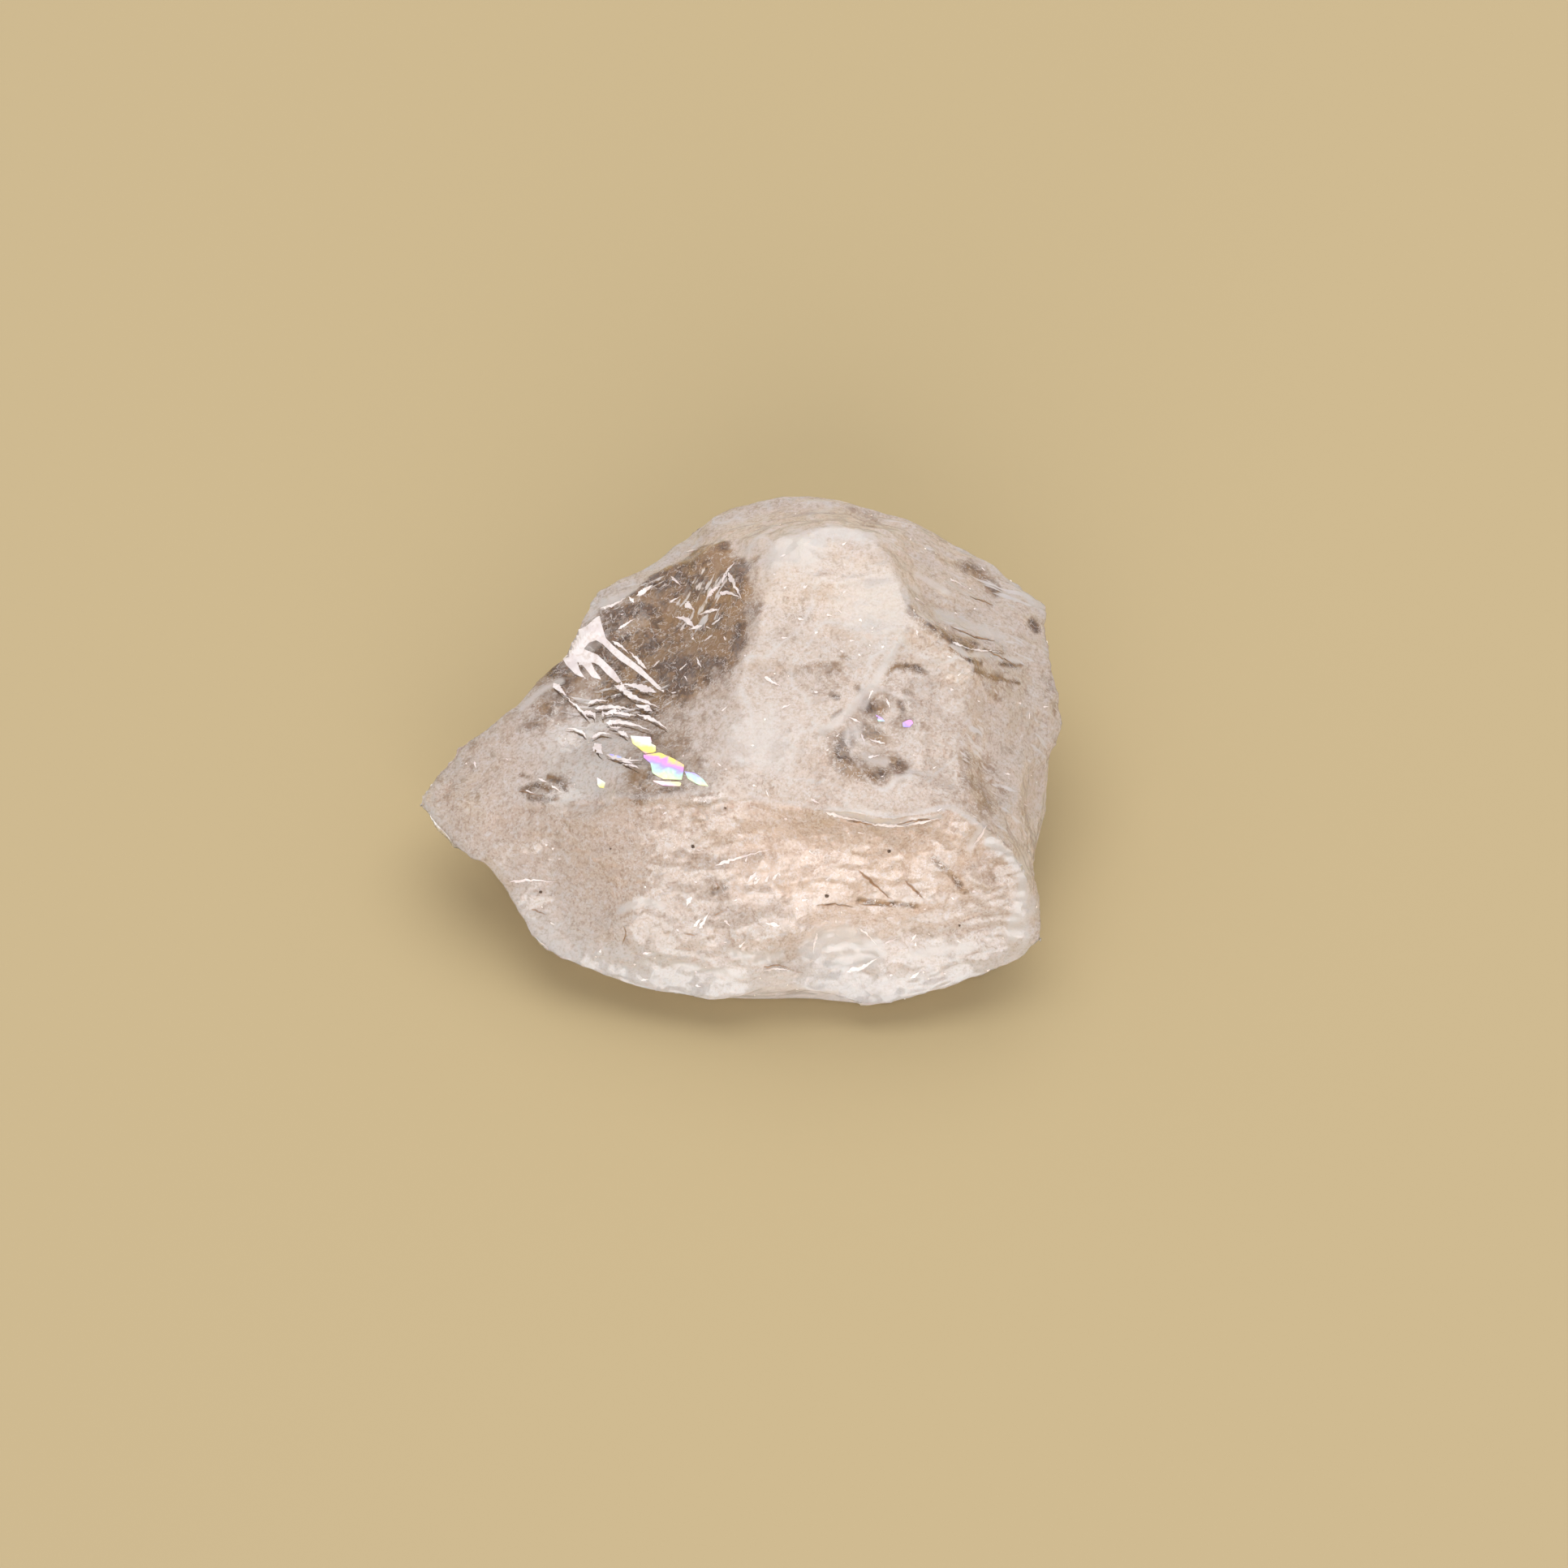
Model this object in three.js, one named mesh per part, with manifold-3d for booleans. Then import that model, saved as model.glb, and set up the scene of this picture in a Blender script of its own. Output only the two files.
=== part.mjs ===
// A rough morganite: one broken lump of pale pink beryl, as it lies on a table.
// Millimetres, +Z up. It rests on its flat parting face, with the origin at the middle of its
// bounding box's underside. The front, steep and hackly, faces -Y, and the pointed end is at -X.
import * as THREE from "three";
import { ImprovedNoise } from "three/addons/math/ImprovedNoise.js";
import { mergeVertices } from "three/addons/utils/BufferGeometryUtils.js";
import Module from "manifold-3d";

// Driving dimensions
const STONE_LENGTH = 15; // along X, tip to right flank
const FACET_EDGE = 0.7; // longest triangle edge on the lump before it is roughened
const RELAX_ROUNDS = 14; // smoothing rounds inside each broken face; ridges stay sharp
const FOOT_FADE = 0.9; // height over which the roughness fades out towards the flat foot
const SKIN_OF_AIR = 6; // how far outside the lump a chip's ray starts
const CHIP_FACET = 0.45; // edge length on the ball that bites a chip
const CHIP_UNEVENNESS = { amplitude: 0.17, wavelength: 1 }; // dents in that ball

// Uneven breakage: how far it moves the surface, and over what length. Stretch draws the finest
// one out along X, as the ledges on the front run.
const ROUGHNESS = [
  { amplitude: 0.3, wavelength: 3.1, stretch: 1 },
  { amplitude: 0.13, wavelength: 1.4, stretch: 1.3 },
  { amplitude: 0.1, wavelength: 0.8, stretch: 3 },
];

// Corners where broken faces meet, as rows of [x, y, z]. A corner is called by its row and its
// place in it, counted from 1: rim1 is the pointed tip.
const CORNERS = {
  // the widest outline, from the tip round the back to the front right corner
  rim: [
    [-7.5, -1.1, 2.2], [-6.9, 0.1, 2.6], [-6.5, 1.1, 2.9], [-5.6, 2.5, 3.2], [-4.3, 3.7, 3.6],
    [-2.2, 4.4, 4.3], [-1.4, 5.4, 4.9], [-0.9, 5.8, 5], [0.8, 5.7, 5.2], [2.4, 5.4, 5.2],
    [3.8, 5, 4.9], [5, 4.5, 4.4], [6.1, 4, 4], [7, 3.4, 3.6], [7.5, 2.5, 3.3],
    [7.3, 1, 3], [6.9, -0.7, 2.9], [6.5, -2.3, 2.6], [6.7, -3.9, 2.2], [6.6, -4.7, 1.5],
    [6.3, -4.9, 1.1],
  ],
  // the front's lower edge, from the right corner back to the tip
  sill: [
    [5.2, -5.4, 0.9], [3.6, -5.8, 0.8], [2.4, -6, 0.9], [1.3, -5.8, 1.1], [0.5, -5.8, 1.2],
    [-0.1, -5.9, 1], [-1, -5.9, 0.8], [-2.2, -5.7, 0.8], [-4, -5, 1], [-4.9, -4.3, 1.2],
    [-5.5, -3.4, 1.6], [-5.9, -3, 1.8], [-6.8, -2.3, 2.1],
  ],
  // the long ridge between the top and the front, left to right, then down the right corner
  ridge: [
    [-5.7, -1.6, 3.1], [-4, -2.4, 3.9], [-2.3, -2.9, 4.5], [-0.7, -3.1, 5.1], [0.5, -3.4, 5.2],
    [1.6, -3.8, 5.2], [2.9, -4, 5.1], [4.3, -3.7, 4.9], [4.9, -3.4, 4.8], [5.5, -3.8, 4.3],
    [6.1, -4.2, 3.6], [6.2, -4.9, 1.6],
  ],
  // the highest edge, then the right side of the top face coming forward
  crest: [
    [0.5, 3.2, 6.6], [1.6, 3.4, 6.8], [2.7, 3.5, 6.6], [3.9, 1.4, 6.3], [5.1, 0, 5.8],
    [5.2, -0.6, 5.5], [4.9, -2, 5.2],
  ],
  // the edge between the clear hollow and the top face, back to front
  spur: [[0.3, 1.5, 6.4], [-0.1, 0.3, 6.1], [-0.3, -0.9, 5.8], [-0.5, -2, 5.5], [-0.6, -2.7, 5.3]],
  // a low fold across the top face
  fold: [[3.3, 0.1, 6.2], [2.7, -1.1, 5.8], [2.1, -2.2, 5.5]],
  // the narrow lip along the hollow's outer side, back to front
  lip: [[-1, 4.4, 5.3], [-2.2, 3.8, 4.6], [-3.6, 2.7, 4], [-4.2, 2.1, 3.7], [-4.8, 1.4, 3.5]],
  // the step that ends the hollow above the ridge
  step: [[-4, -0.2, 3.8], [-2.9, -1.6, 4.3], [-1.6, -2.4, 4.8]],
  // knobs on the front: one row under the ridge, one above the sill
  front: [
    [-5.1, -3.6, 2.5], [-3.3, -3.5, 3.4], [-1.2, -3.9, 3.7], [0.8, -4.1, 3.9], [2.7, -4.2, 4],
    [4.5, -4.2, 3.9], [-3.6, -4.6, 2.2], [-1.6, -5, 2.4], [0.3, -5, 2.8], [2.1, -5.1, 2.8],
    [4.3, -4.9, 2.6],
  ],
  // under the rim at the back, from behind the tip round to the right
  waist: [
    [-5.3, 0.5, 1.2], [-3.6, 3.3, 1.8], [-1.2, 5.4, 2.4], [1.6, 5.9, 2.6], [4.3, 5.2, 2],
    [6.4, 3.5, 1.6], [6.8, 0.7, 1.2], [6.5, -2.1, 1],
  ],
  // the flat parting face that it lies on
  foot: [
    [-4.4, -1.9, 0], [-3.6, -3.8, 0], [-1.2, -5, 0], [0.8, -4.9, 0], [3, -5.1, 0],
    [5.3, -4.3, 0], [5.9, -2.5, 0], [5.5, 0.5, 0], [5, 2.8, 0], [2.6, 4.2, 0],
    [-0.4, 4.1, 0], [-3, 2.1, 0], [-4.4, 0.2, 0],
  ],
};

// Broken faces: corners anticlockwise from outside, and how far the middle swells out, or is
// scooped in where it is negative.
const FACES = [
  // top
  ["lip1 lip2 lip3 lip4 lip5 step1 step2 step3 spur5 spur4 spur3 spur2 spur1 crest1", -0.4],
  ["step1 ridge2 ridge3 ridge4 spur5 step3 step2", 0.1],
  ["rim4 rim3 rim2 ridge1 ridge2 step1 lip5", 0.15],
  ["rim2 rim1 ridge1", 0.05],
  ["rim7 rim6 lip2 lip1", 0.05],
  ["rim6 rim5 lip3 lip2", 0.05],
  ["rim5 rim4 lip5 lip4 lip3", 0.05],
  ["crest1 spur1 spur2 spur3 spur4 spur5 ridge4 ridge5 ridge6 ridge7 fold3 fold2 fold1 crest4 crest3 crest2", 0.1],
  ["fold1 fold2 fold3 ridge7 ridge8 ridge9 crest7 crest6 crest5 crest4", -0.25],
  ["lip1 crest1 crest2 rim10 rim9 rim8 rim7", 0.1],
  ["crest2 crest3 rim11 rim10", 0.05],
  ["crest3 crest4 crest5 crest6 rim16 rim15 rim14 rim13 rim12 rim11", 0.2],
  ["crest6 crest7 ridge9 ridge10 rim18 rim17 rim16", -0.15],
  // right corner
  ["ridge10 ridge11 rim19 rim18", 0],
  ["ridge11 ridge12 rim21 rim20 rim19", 0.1],
  // front
  ["ridge1 rim1 sill13 sill12 front1 front2 ridge2", 0.1],
  ["sill12 sill11 sill10 front7 front1", 0.1],
  ["front1 front7 front8 front3 front2", 0.05],
  ["ridge2 front2 front3 ridge4 ridge3", 0],
  ["ridge4 front3 front4 ridge6 ridge5", -0.1],
  ["ridge6 front4 front5 ridge8 ridge7", -0.1],
  ["ridge8 front5 front6 ridge10 ridge9", 0],
  ["ridge10 front6 front11 ridge12 ridge11", 0.1],
  ["front3 front8 front9 front4", -0.1],
  ["front4 front9 front10 front5", 0.1],
  ["front5 front10 front11 front6", -0.05],
  ["sill10 sill9 sill8 front8 front7", 0.1],
  ["sill8 sill7 sill6 front9 front8", 0.1],
  ["sill6 sill5 sill4 front10 front9", -0.05],
  ["sill4 sill3 sill2 front11 front10", 0.15],
  ["sill2 sill1 rim21 ridge12 front11", 0.1],
  // under the front
  ["sill8 sill9 sill10 foot2", 0.1],
  ["sill6 sill7 sill8 foot2 foot3", 0.1],
  ["sill4 sill5 sill6 foot3 foot4", 0],
  ["sill2 sill3 sill4 foot4 foot5", 0.1],
  ["rim21 sill1 sill2 foot5 foot6", 0.1],
  ["sill10 sill11 sill12 foot1 foot2", 0.1],
  ["sill12 sill13 rim1 foot1", 0.1],
  // back, under the rim
  ["rim1 rim2 rim3 waist1 foot13 foot1", 0.1],
  ["rim3 rim4 rim5 waist2 waist1", -0.1],
  ["rim5 rim6 rim7 waist3 waist2", -0.2],
  ["rim7 rim8 rim9 waist4 waist3", 0.1],
  ["rim9 rim10 rim11 waist5 waist4", -0.2],
  ["rim11 rim12 rim13 waist6 waist5", 0.1],
  ["rim13 rim14 rim15 waist6", 0.1],
  ["rim15 rim16 rim17 waist7 waist6", -0.15],
  ["rim17 rim18 waist8 waist7", 0.1],
  ["rim18 rim19 rim20 rim21 foot6 foot7 waist8", 0.1],
  // back, above the foot
  ["waist1 waist2 foot12 foot13", 0.1],
  ["waist2 waist3 foot11 foot12", 0.15],
  ["waist3 waist4 foot10 foot11", -0.1],
  ["waist4 waist5 foot9 foot10", 0.15],
  ["waist5 waist6 foot9", 0.05],
  ["waist6 waist7 foot8 foot9", 0.1],
  ["waist7 waist8 foot7 foot8", 0.1],
  // the foot
  ["foot13 foot12 foot11 foot10 foot9 foot8 foot7 foot6 foot5 foot4 foot3 foot2 foot1", 0],
];

// Shell-shaped chips: a ball of the given radius bites this deep where a ray, coming in along
// facing and through at, meets the surface.
const CHIPS = [
  { at: [-4.4, -1.7, 3.6], facing: [-0.1, -0.3, 1], radius: 2, depth: 0.1 }, // pit by the tip
  { at: [3.3, -1.7, 5.4], facing: [0, -0.2, 1], radius: 3, depth: 0.22 }, // hollow on the top
  { at: [-4.9, -2.9, 2.9], facing: [-0.4, -1, 0.7], radius: 6, depth: 0.1 }, // oval left of the front
  { at: [2.2, -5.4, 2.1], facing: [0, -1, 0.35], radius: 3, depth: 0.13 }, // bright chip, front
  { at: [4.9, -3.6, 2.6], facing: [0.2, -1, 0.6], radius: 6, depth: 0.12 },
  { at: [7.0, -2.0, 2.6], facing: [1, -0.1, 0.4], radius: 4, depth: 0.3 }, // waist of the flank
  { at: [5.7, -1.6, 4.6], facing: [1, -0.3, 1], radius: 4, depth: 0.2 },
  { at: [5.6, 2.3, 5.1], facing: [0.5, 0.2, 1], radius: 7, depth: 0.22 },
  { at: [-2.2, 3.7, 4.6], facing: [-0.5, 0.5, 1], radius: 5, depth: 0.14 },
  { at: [-1.2, 5.4, 3.2], facing: [-0.3, 1, 0], radius: 5, depth: 0.5 }, // the back
  { at: [3.2, 5.6, 2.8], facing: [0.1, 1, 0], radius: 6, depth: 0.45 },
  { at: [-4.6, 2.3, 2.2], facing: [-1, 0.8, 0], radius: 5, depth: 0.4 },
  { at: [7.2, 2.0, 1.9], facing: [1, 0.2, -0.1], radius: 5, depth: 0.36 },
];

// The lump before its chips: corners, a raised or sunk middle to each face, and fan triangles.
// inside is 1 at a face's middle and 0 on its edges, and push is the middle's swell.
function coarseLump() {
  const points = [];
  const triangles = [];
  const placeOf = {};
  for (const [row, corners] of Object.entries(CORNERS)) {
    corners.forEach((corner, i) => {
      placeOf[row + (i + 1)] = points.length;
      points.push({ at: new THREE.Vector3(...corner), inside: 0, push: new THREE.Vector3() });
    });
  }
  for (const [names, swell] of FACES) {
    const loop = names.split(" ").map((name) => placeOf[name]);
    const middle = new THREE.Vector3();
    const normal = new THREE.Vector3();
    loop.forEach((p, i) => {
      const here = points[p].at;
      const next = points[loop[(i + 1) % loop.length]].at;
      middle.addScaledVector(here, 1 / loop.length);
      normal.add(new THREE.Vector3().crossVectors(here, next));
    });
    const centre = points.length;
    points.push({ at: middle, inside: 1, push: normal.normalize().multiplyScalar(swell) });
    loop.forEach((p, i) => triangles.push([centre, p, loop[(i + 1) % loop.length]]));
  }
  return { points, triangles };
}

// Halves every edge longer than the limit, in both triangles that share it, until none is left.
function refine({ points, triangles }, longest) {
  let split = true;
  while (split) {
    split = false;
    const halfway = new Map();
    const middleOf = (a, b) => {
      if (points[a].at.distanceTo(points[b].at) <= longest) return null;
      const key = Math.min(a, b) + "-" + Math.max(a, b);
      if (!halfway.has(key)) {
        halfway.set(key, points.length);
        points.push({
          at: points[a].at.clone().lerp(points[b].at, 0.5),
          inside: (points[a].inside + points[b].inside) / 2,
          push: points[a].push.clone().lerp(points[b].push, 0.5),
        });
      }
      return halfway.get(key);
    };
    const next = [];
    for (const [a, b, c] of triangles) {
      const ab = middleOf(a, b);
      const bc = middleOf(b, c);
      const ca = middleOf(c, a);
      split ||= ab !== null || bc !== null || ca !== null;
      next.push(...cutTriangle([a, b, c], [ab, bc, ca]));
    }
    triangles = next;
  }
  return { points, triangles };
}

// The pieces of one triangle whose edges have these middles, null where an edge stays whole.
function cutTriangle([a, b, c], [ab, bc, ca]) {
  const cuts = [ab, bc, ca].filter((m) => m !== null).length;
  if (cuts === 0) return [[a, b, c]];
  if (cuts === 3) return [[a, ab, ca], [ab, b, bc], [ca, bc, c], [ab, bc, ca]];
  // Turned so that the first edge is cut and, of two cuts, the last edge is whole
  if (ab === null || (cuts === 2 && ca !== null && bc === null)) {
    return cutTriangle([b, c, a], [bc, ca, ab]);
  }
  if (cuts === 1) return [[a, ab, c], [ab, b, c]];
  if (ca !== null) return cutTriangle([c, a, b], [ca, ab, bc]);
  return [[a, ab, c], [ab, bc, c], [ab, b, bc]];
}

// Swells each face into a shallow dome or bowl, then smooths the fan's folds out of it.
function shapeFaces({ points, triangles }) {
  for (const point of points) {
    point.at.addScaledVector(point.push, 2 - point.inside);
  }
  const neighbours = points.map(() => new Set());
  for (const [a, b, c] of triangles) {
    neighbours[a].add(b).add(c);
    neighbours[b].add(a).add(c);
    neighbours[c].add(a).add(b);
  }
  for (let round = 0; round < RELAX_ROUNDS; round++) {
    const smoothed = points.map((point, i) => {
      if (point.inside === 0) return point.at;
      const mean = new THREE.Vector3();
      neighbours[i].forEach((j) => mean.add(points[j].at));
      return mean.divideScalar(neighbours[i].size);
    });
    points.forEach((point, i) => (point.at = smoothed[i]));
  }
}

const noise = new ImprovedNoise();

// Smooth noise of about -1 to 1 at a point; each lane is a pattern of its own.
function noiseAt(point, wavelength, stretch, lane) {
  const offset = 17.3 * (lane + 1) + 31 * wavelength;
  const along = point.x / (wavelength * stretch);
  return noise.noise(along + offset, point.y / wavelength, point.z / wavelength - offset);
}

// Moves every point by noise that depends only on where it is. The foot stays flat.
function roughen(points) {
  const wobble = (point, lane) =>
    ROUGHNESS.reduce(
      (sum, { amplitude, wavelength, stretch }) =>
        sum + amplitude * noiseAt(point, wavelength, stretch, lane),
      0,
    );
  for (const point of points) {
    const here = point.at.clone();
    const lift = THREE.MathUtils.clamp(here.z / FOOT_FADE, 0, 1);
    point.at.x += wobble(here, 0);
    point.at.y += wobble(here, 1);
    point.at.z += wobble(here, 2) * lift;
  }
}

const wasm = await Module();
wasm.setup();

function toSolid(geometry) {
  const bare = geometry.clone();
  bare.deleteAttribute("normal");
  bare.deleteAttribute("uv");
  const merged = mergeVertices(bare, 1e-4);
  return new wasm.Manifold(
    new wasm.Mesh({
      numProp: 3,
      vertProperties: merged.attributes.position.array,
      triVerts: new Uint32Array(merged.index.array),
    }),
  );
}

function toGeometry(solid) {
  const mesh = solid.getMesh();
  const geometry = new THREE.BufferGeometry();
  geometry.setAttribute("position", new THREE.BufferAttribute(mesh.vertProperties, mesh.numProp));
  geometry.setIndex(new THREE.BufferAttribute(mesh.triVerts, 1));
  return geometry;
}

function lumpGeometry() {
  const lump = refine(coarseLump(), FACET_EDGE);
  shapeFaces(lump);
  roughen(lump.points);
  const geometry = new THREE.BufferGeometry();
  geometry.setFromPoints(lump.points.map((point) => point.at));
  geometry.setIndex(lump.triangles.flat());
  return geometry;
}

// A dented ball around centre, which leaves a scoop with an uneven rim.
function biteSolid(centre, radius) {
  const ball = new THREE.IcosahedronGeometry(radius, Math.round(radius / CHIP_FACET));
  const place = ball.attributes.position;
  const { amplitude, wavelength } = CHIP_UNEVENNESS;
  for (let i = 0; i < place.count; i++) {
    const arm = new THREE.Vector3().fromBufferAttribute(place, i);
    const dent = amplitude * noiseAt(arm.clone().add(centre), wavelength, 1, radius);
    arm.setLength(radius + dent).add(centre);
    place.setXYZ(i, arm.x, arm.y, arm.z);
  }
  return toSolid(ball);
}

// Bites every chip out of the lump. All are aimed at the unchipped surface.
function chipped(geometry) {
  const target = new THREE.Mesh(geometry, new THREE.MeshBasicMaterial());
  const ray = new THREE.Raycaster();
  let solid = toSolid(geometry);
  for (const { at, facing, radius, depth } of CHIPS) {
    const out = new THREE.Vector3(...facing).normalize();
    const start = new THREE.Vector3(...at).addScaledVector(out, SKIN_OF_AIR);
    ray.set(start, out.clone().negate());
    const [hit] = ray.intersectObject(target);
    const centre = hit.point.clone().addScaledVector(out, radius - depth);
    solid = solid.subtract(biteSolid(centre, radius));
  }
  return toGeometry(solid);
}

// Scaled to its length, and set with its foot on z = 0 and its box centred on the origin.
function settled(geometry) {
  geometry.computeBoundingBox();
  const length = geometry.boundingBox.max.x - geometry.boundingBox.min.x;
  const scale = STONE_LENGTH / length;
  geometry.scale(scale, scale, scale);
  geometry.computeBoundingBox();
  const box = geometry.boundingBox;
  const middle = box.getCenter(new THREE.Vector3());
  geometry.translate(-middle.x, -middle.y, -box.min.z);
  geometry.computeVertexNormals();
  return geometry;
}

const stone = new THREE.Mesh(
  settled(chipped(lumpGeometry())),
  new THREE.MeshStandardMaterial({ color: 0xdcc8ba, roughness: 0.25, metalness: 0 }),
);
stone.name = "morganite";

const group = new THREE.Group();
group.add(stone);
export default group;
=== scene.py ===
"""A rough morganite as it looks: the broken surface, the fractures inside it, and a plain stage."""

import math
import random

import bmesh
import bpy
from bpy.props import FloatProperty, FloatVectorProperty, IntProperty, PointerProperty
from mathutils import Matrix, Vector, noise
from mathutils.bvhtree import BVHTree
from mathutils.geometry import intersect_point_line


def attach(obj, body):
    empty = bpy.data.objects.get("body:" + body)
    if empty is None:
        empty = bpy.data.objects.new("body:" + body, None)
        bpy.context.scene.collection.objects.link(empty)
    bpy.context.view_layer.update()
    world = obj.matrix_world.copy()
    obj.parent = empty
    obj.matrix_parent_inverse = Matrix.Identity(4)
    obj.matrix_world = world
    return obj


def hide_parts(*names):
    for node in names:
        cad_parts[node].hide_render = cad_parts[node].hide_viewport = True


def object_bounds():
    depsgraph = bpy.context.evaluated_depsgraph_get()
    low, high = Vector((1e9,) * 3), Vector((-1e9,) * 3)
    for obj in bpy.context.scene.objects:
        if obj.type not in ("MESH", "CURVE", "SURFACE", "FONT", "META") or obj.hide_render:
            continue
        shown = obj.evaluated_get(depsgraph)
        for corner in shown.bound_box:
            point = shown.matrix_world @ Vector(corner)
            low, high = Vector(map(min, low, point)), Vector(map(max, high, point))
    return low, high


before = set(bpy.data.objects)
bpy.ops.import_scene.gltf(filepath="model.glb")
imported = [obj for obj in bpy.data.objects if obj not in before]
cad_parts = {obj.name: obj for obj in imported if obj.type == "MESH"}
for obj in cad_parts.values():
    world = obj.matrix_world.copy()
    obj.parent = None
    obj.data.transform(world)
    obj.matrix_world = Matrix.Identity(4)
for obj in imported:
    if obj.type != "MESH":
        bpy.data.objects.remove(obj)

bl_info = {
    "name": "Rough Morganite",
    "version": (1, 0, 0),
    "blender": (4, 5, 0),
    "location": "3D View > Sidebar > Morganite",
    "description": "Breaks the surface of a rough morganite, fractures it inside and sets its stage",
    "category": "Object",
}

CAD_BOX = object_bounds()
NODE = "morganite"
BODY = "root"
MM = 0.001

# Lines on the stone in plan, in millimetres, each from point to point
SPUR = [(-3.2, -0.6), (-1.6, -0.4), (0.3, 0.0), (1.4, 0.3), (3.2, 0.1), (4.2, -0.6), (6.0, -1.6)]  # y, x
CREST = [(-4.2, 4.9), (-2.0, 5.0), (-0.5, 5.1), (0.6, 4.9), (2.2, 3.9), (3.4, 2.7), (6.0, 1.8)]  # y, x
RIDGE = [(-7.5, -1.4), (-5.6, -1.7), (-4.0, -2.3), (-2.3, -2.8), (-0.6, -3.0), (0.8, -3.5),
         (2.3, -3.9), (3.4, -4.0), (4.7, -3.5), (5.5, -3.8), (7.5, -4.6)]  # x, y
LIP = [(-7.5, -0.2), (-5.1, 1.3), (-3.7, 2.8), (-2.2, 3.8), (-1.0, 4.4), (0.6, 3.4)]  # x, y

# Round patches: middle in space, radius along x, y and z, and how strong they are. In millimetres.
# Pale patches: frosted breaks, but the four on the top facet and the last, at the fan's root, are partly
# a painted sheen of the light
PALE_AND_SHEEN_PATCHES = [
    ((1.1, 2.8, 6.6), (0.9, 0.7, 2.0), 0.95),
    ((2.4, 3.3, 6.7), (1.1, 0.35, 2.0), 0.8),
    ((3.0, 1.2, 6.3), (1.0, 1.0, 2.0), 0.6),
    ((0.4, -1.9, 5.5), (1.0, 0.9, 2.0), 0.6),
    ((2.2, -5.0, 1.8), (0.95, 1.5, 0.5), 0.85),
    ((-0.5, -4.9, 1.2), (1.6, 1.5, 0.6), 0.5),
    ((6.45, -4.7, 2.6), (0.3, 1.5, 1.5), 0.7),
    ((-3.75, 2.35, 3.9), (0.5, 0.45, 1.0), 1.0),
]
# Clearer patches, painted with the brown shade seen through them as the hollow is
CLEAR_PATCHES = [
    ((-4.35, -1.8, 3.6), (0.6, 0.35, 1.0), 0.3),
    ((2.65, -2.1, 5.4), (0.9, 0.9, 2.0), 0.3),
    ((3.6, -1.2, 5.6), (0.9, 0.9, 2.0), 0.25),
    ((1.6, -0.4, 6.0), (0.8, 0.4, 2.0), 0.3),
    ((1.2, 1.2, 6.3), (0.5, 0.5, 2.0), 0.25),
    ((5.4, -2.5, 4.7), (0.6, 0.9, 2.0), 0.3),
]

# Places in plan, in millimetres
RIPPLE_HEART = Vector((-2.2, 4.5))  # the curved ripples lie round this point
RIPPLE_MIDDLE = Vector((-2.9, 0.1))
DASH_MIDDLE = Vector((-2.8, 3.4))
FLAKE_MIDDLE = Vector((-0.95, 2.3))

# The view that the steps and cracks were placed in. Lengths are in millimetres.
VIEW_TARGET = Vector((0.93, 1.36, 0.0))
VIEW_DISTANCE = 300
VIEW_ELEVATION = math.radians(50)
VIEW_BACK = Vector((0, -math.cos(VIEW_ELEVATION), math.sin(VIEW_ELEVATION)))  # towards the eye
VIEW_UP = Vector((0, math.sin(VIEW_ELEVATION), math.cos(VIEW_ELEVATION)))
PICTURE_WIDTH = 1932  # in pixels, and its height too
PICTURE_SPAN = 36.2  # its width on the table
PIXEL = PICTURE_SPAN / PICTURE_WIDTH

# Bright steps and torn edges as they are seen: each has its width in millimetres and then its
# places in the picture, in pixels. FAN_REFLECTION_PATCH and each of FILM_SHEETS is a rim in the picture.
# The bright steps are drawn as white splinters: partly the torn steps, partly painted glints and
# reflections of the light on them
FAN_STEPS = [
    (0.09, (755, 790), (766, 797), (776, 806)), (0.1, (776, 803), (787, 814), (797, 825)),
]
# The white patch at the fan's root: torn strands, and partly a painted reflection of the light
FAN_REFLECTION_PATCH = [
    (739, 759), (743, 775), (747, 787), (757, 797), (773, 810), (790, 823), (807, 840), (824, 856),
    (810, 849), (798, 838), (778, 823), (763, 813), (753, 804), (743, 794), (735, 789), (726, 792),
    (719, 800), (727, 803), (736, 807), (747, 817), (758, 828), (769, 845), (760, 841), (748, 831),
    (738, 820), (728, 815), (733, 826), (742, 838), (730, 835), (719, 821), (711, 815), (715, 827),
    (722, 837), (709, 831), (698, 820), (690, 805), (692, 792), (700, 780), (712, 777), (723, 772),
    (733, 763)]
RIPPLE_STEPS = [
    # The ripples' bright crests: real steps, partly painted reflections of the light on them
    (0.16, (682, 842), (690, 850), (698, 858)), (0.07, (696, 857), (714, 874), (727, 888)),
    (0.1, (725, 867), (735, 863), (748, 864)), (0.13, (733, 873), (747, 871), (767, 872), (782, 876)),
    (0.16, (742, 880), (757, 877), (773, 881), (784, 882)),
    (0.14, (747, 891), (760, 889), (782, 893), (805, 902)),
    (0.18, (757, 845), (767, 848), (778, 858), (797, 865), (812, 872)),
    (0.2, (768, 843), (783, 845), (798, 850), (809, 853)), (0.17, (783, 868), (795, 872), (803, 876)),
    (0.1, (785, 880), (800, 885), (815, 893), (823, 899)), (0.12, (757, 899), (767, 903), (774, 909)),
    (0.1, (750, 895), (757, 897), (767, 896)), (0.12, (730, 909), (740, 903), (753, 905)),
    (0.22, (733, 916), (738, 925), (743, 929)), (0.08, (697, 898), (707, 898), (718, 903), (723, 909)),
    (0.12, (748, 930), (763, 935), (778, 937), (791, 937)), (0.15, (767, 937), (777, 942), (788, 947)),
    (0.14, (720, 877), (732, 880), (733, 886)), (0.07, (743, 876), (743, 888)),
]
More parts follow.
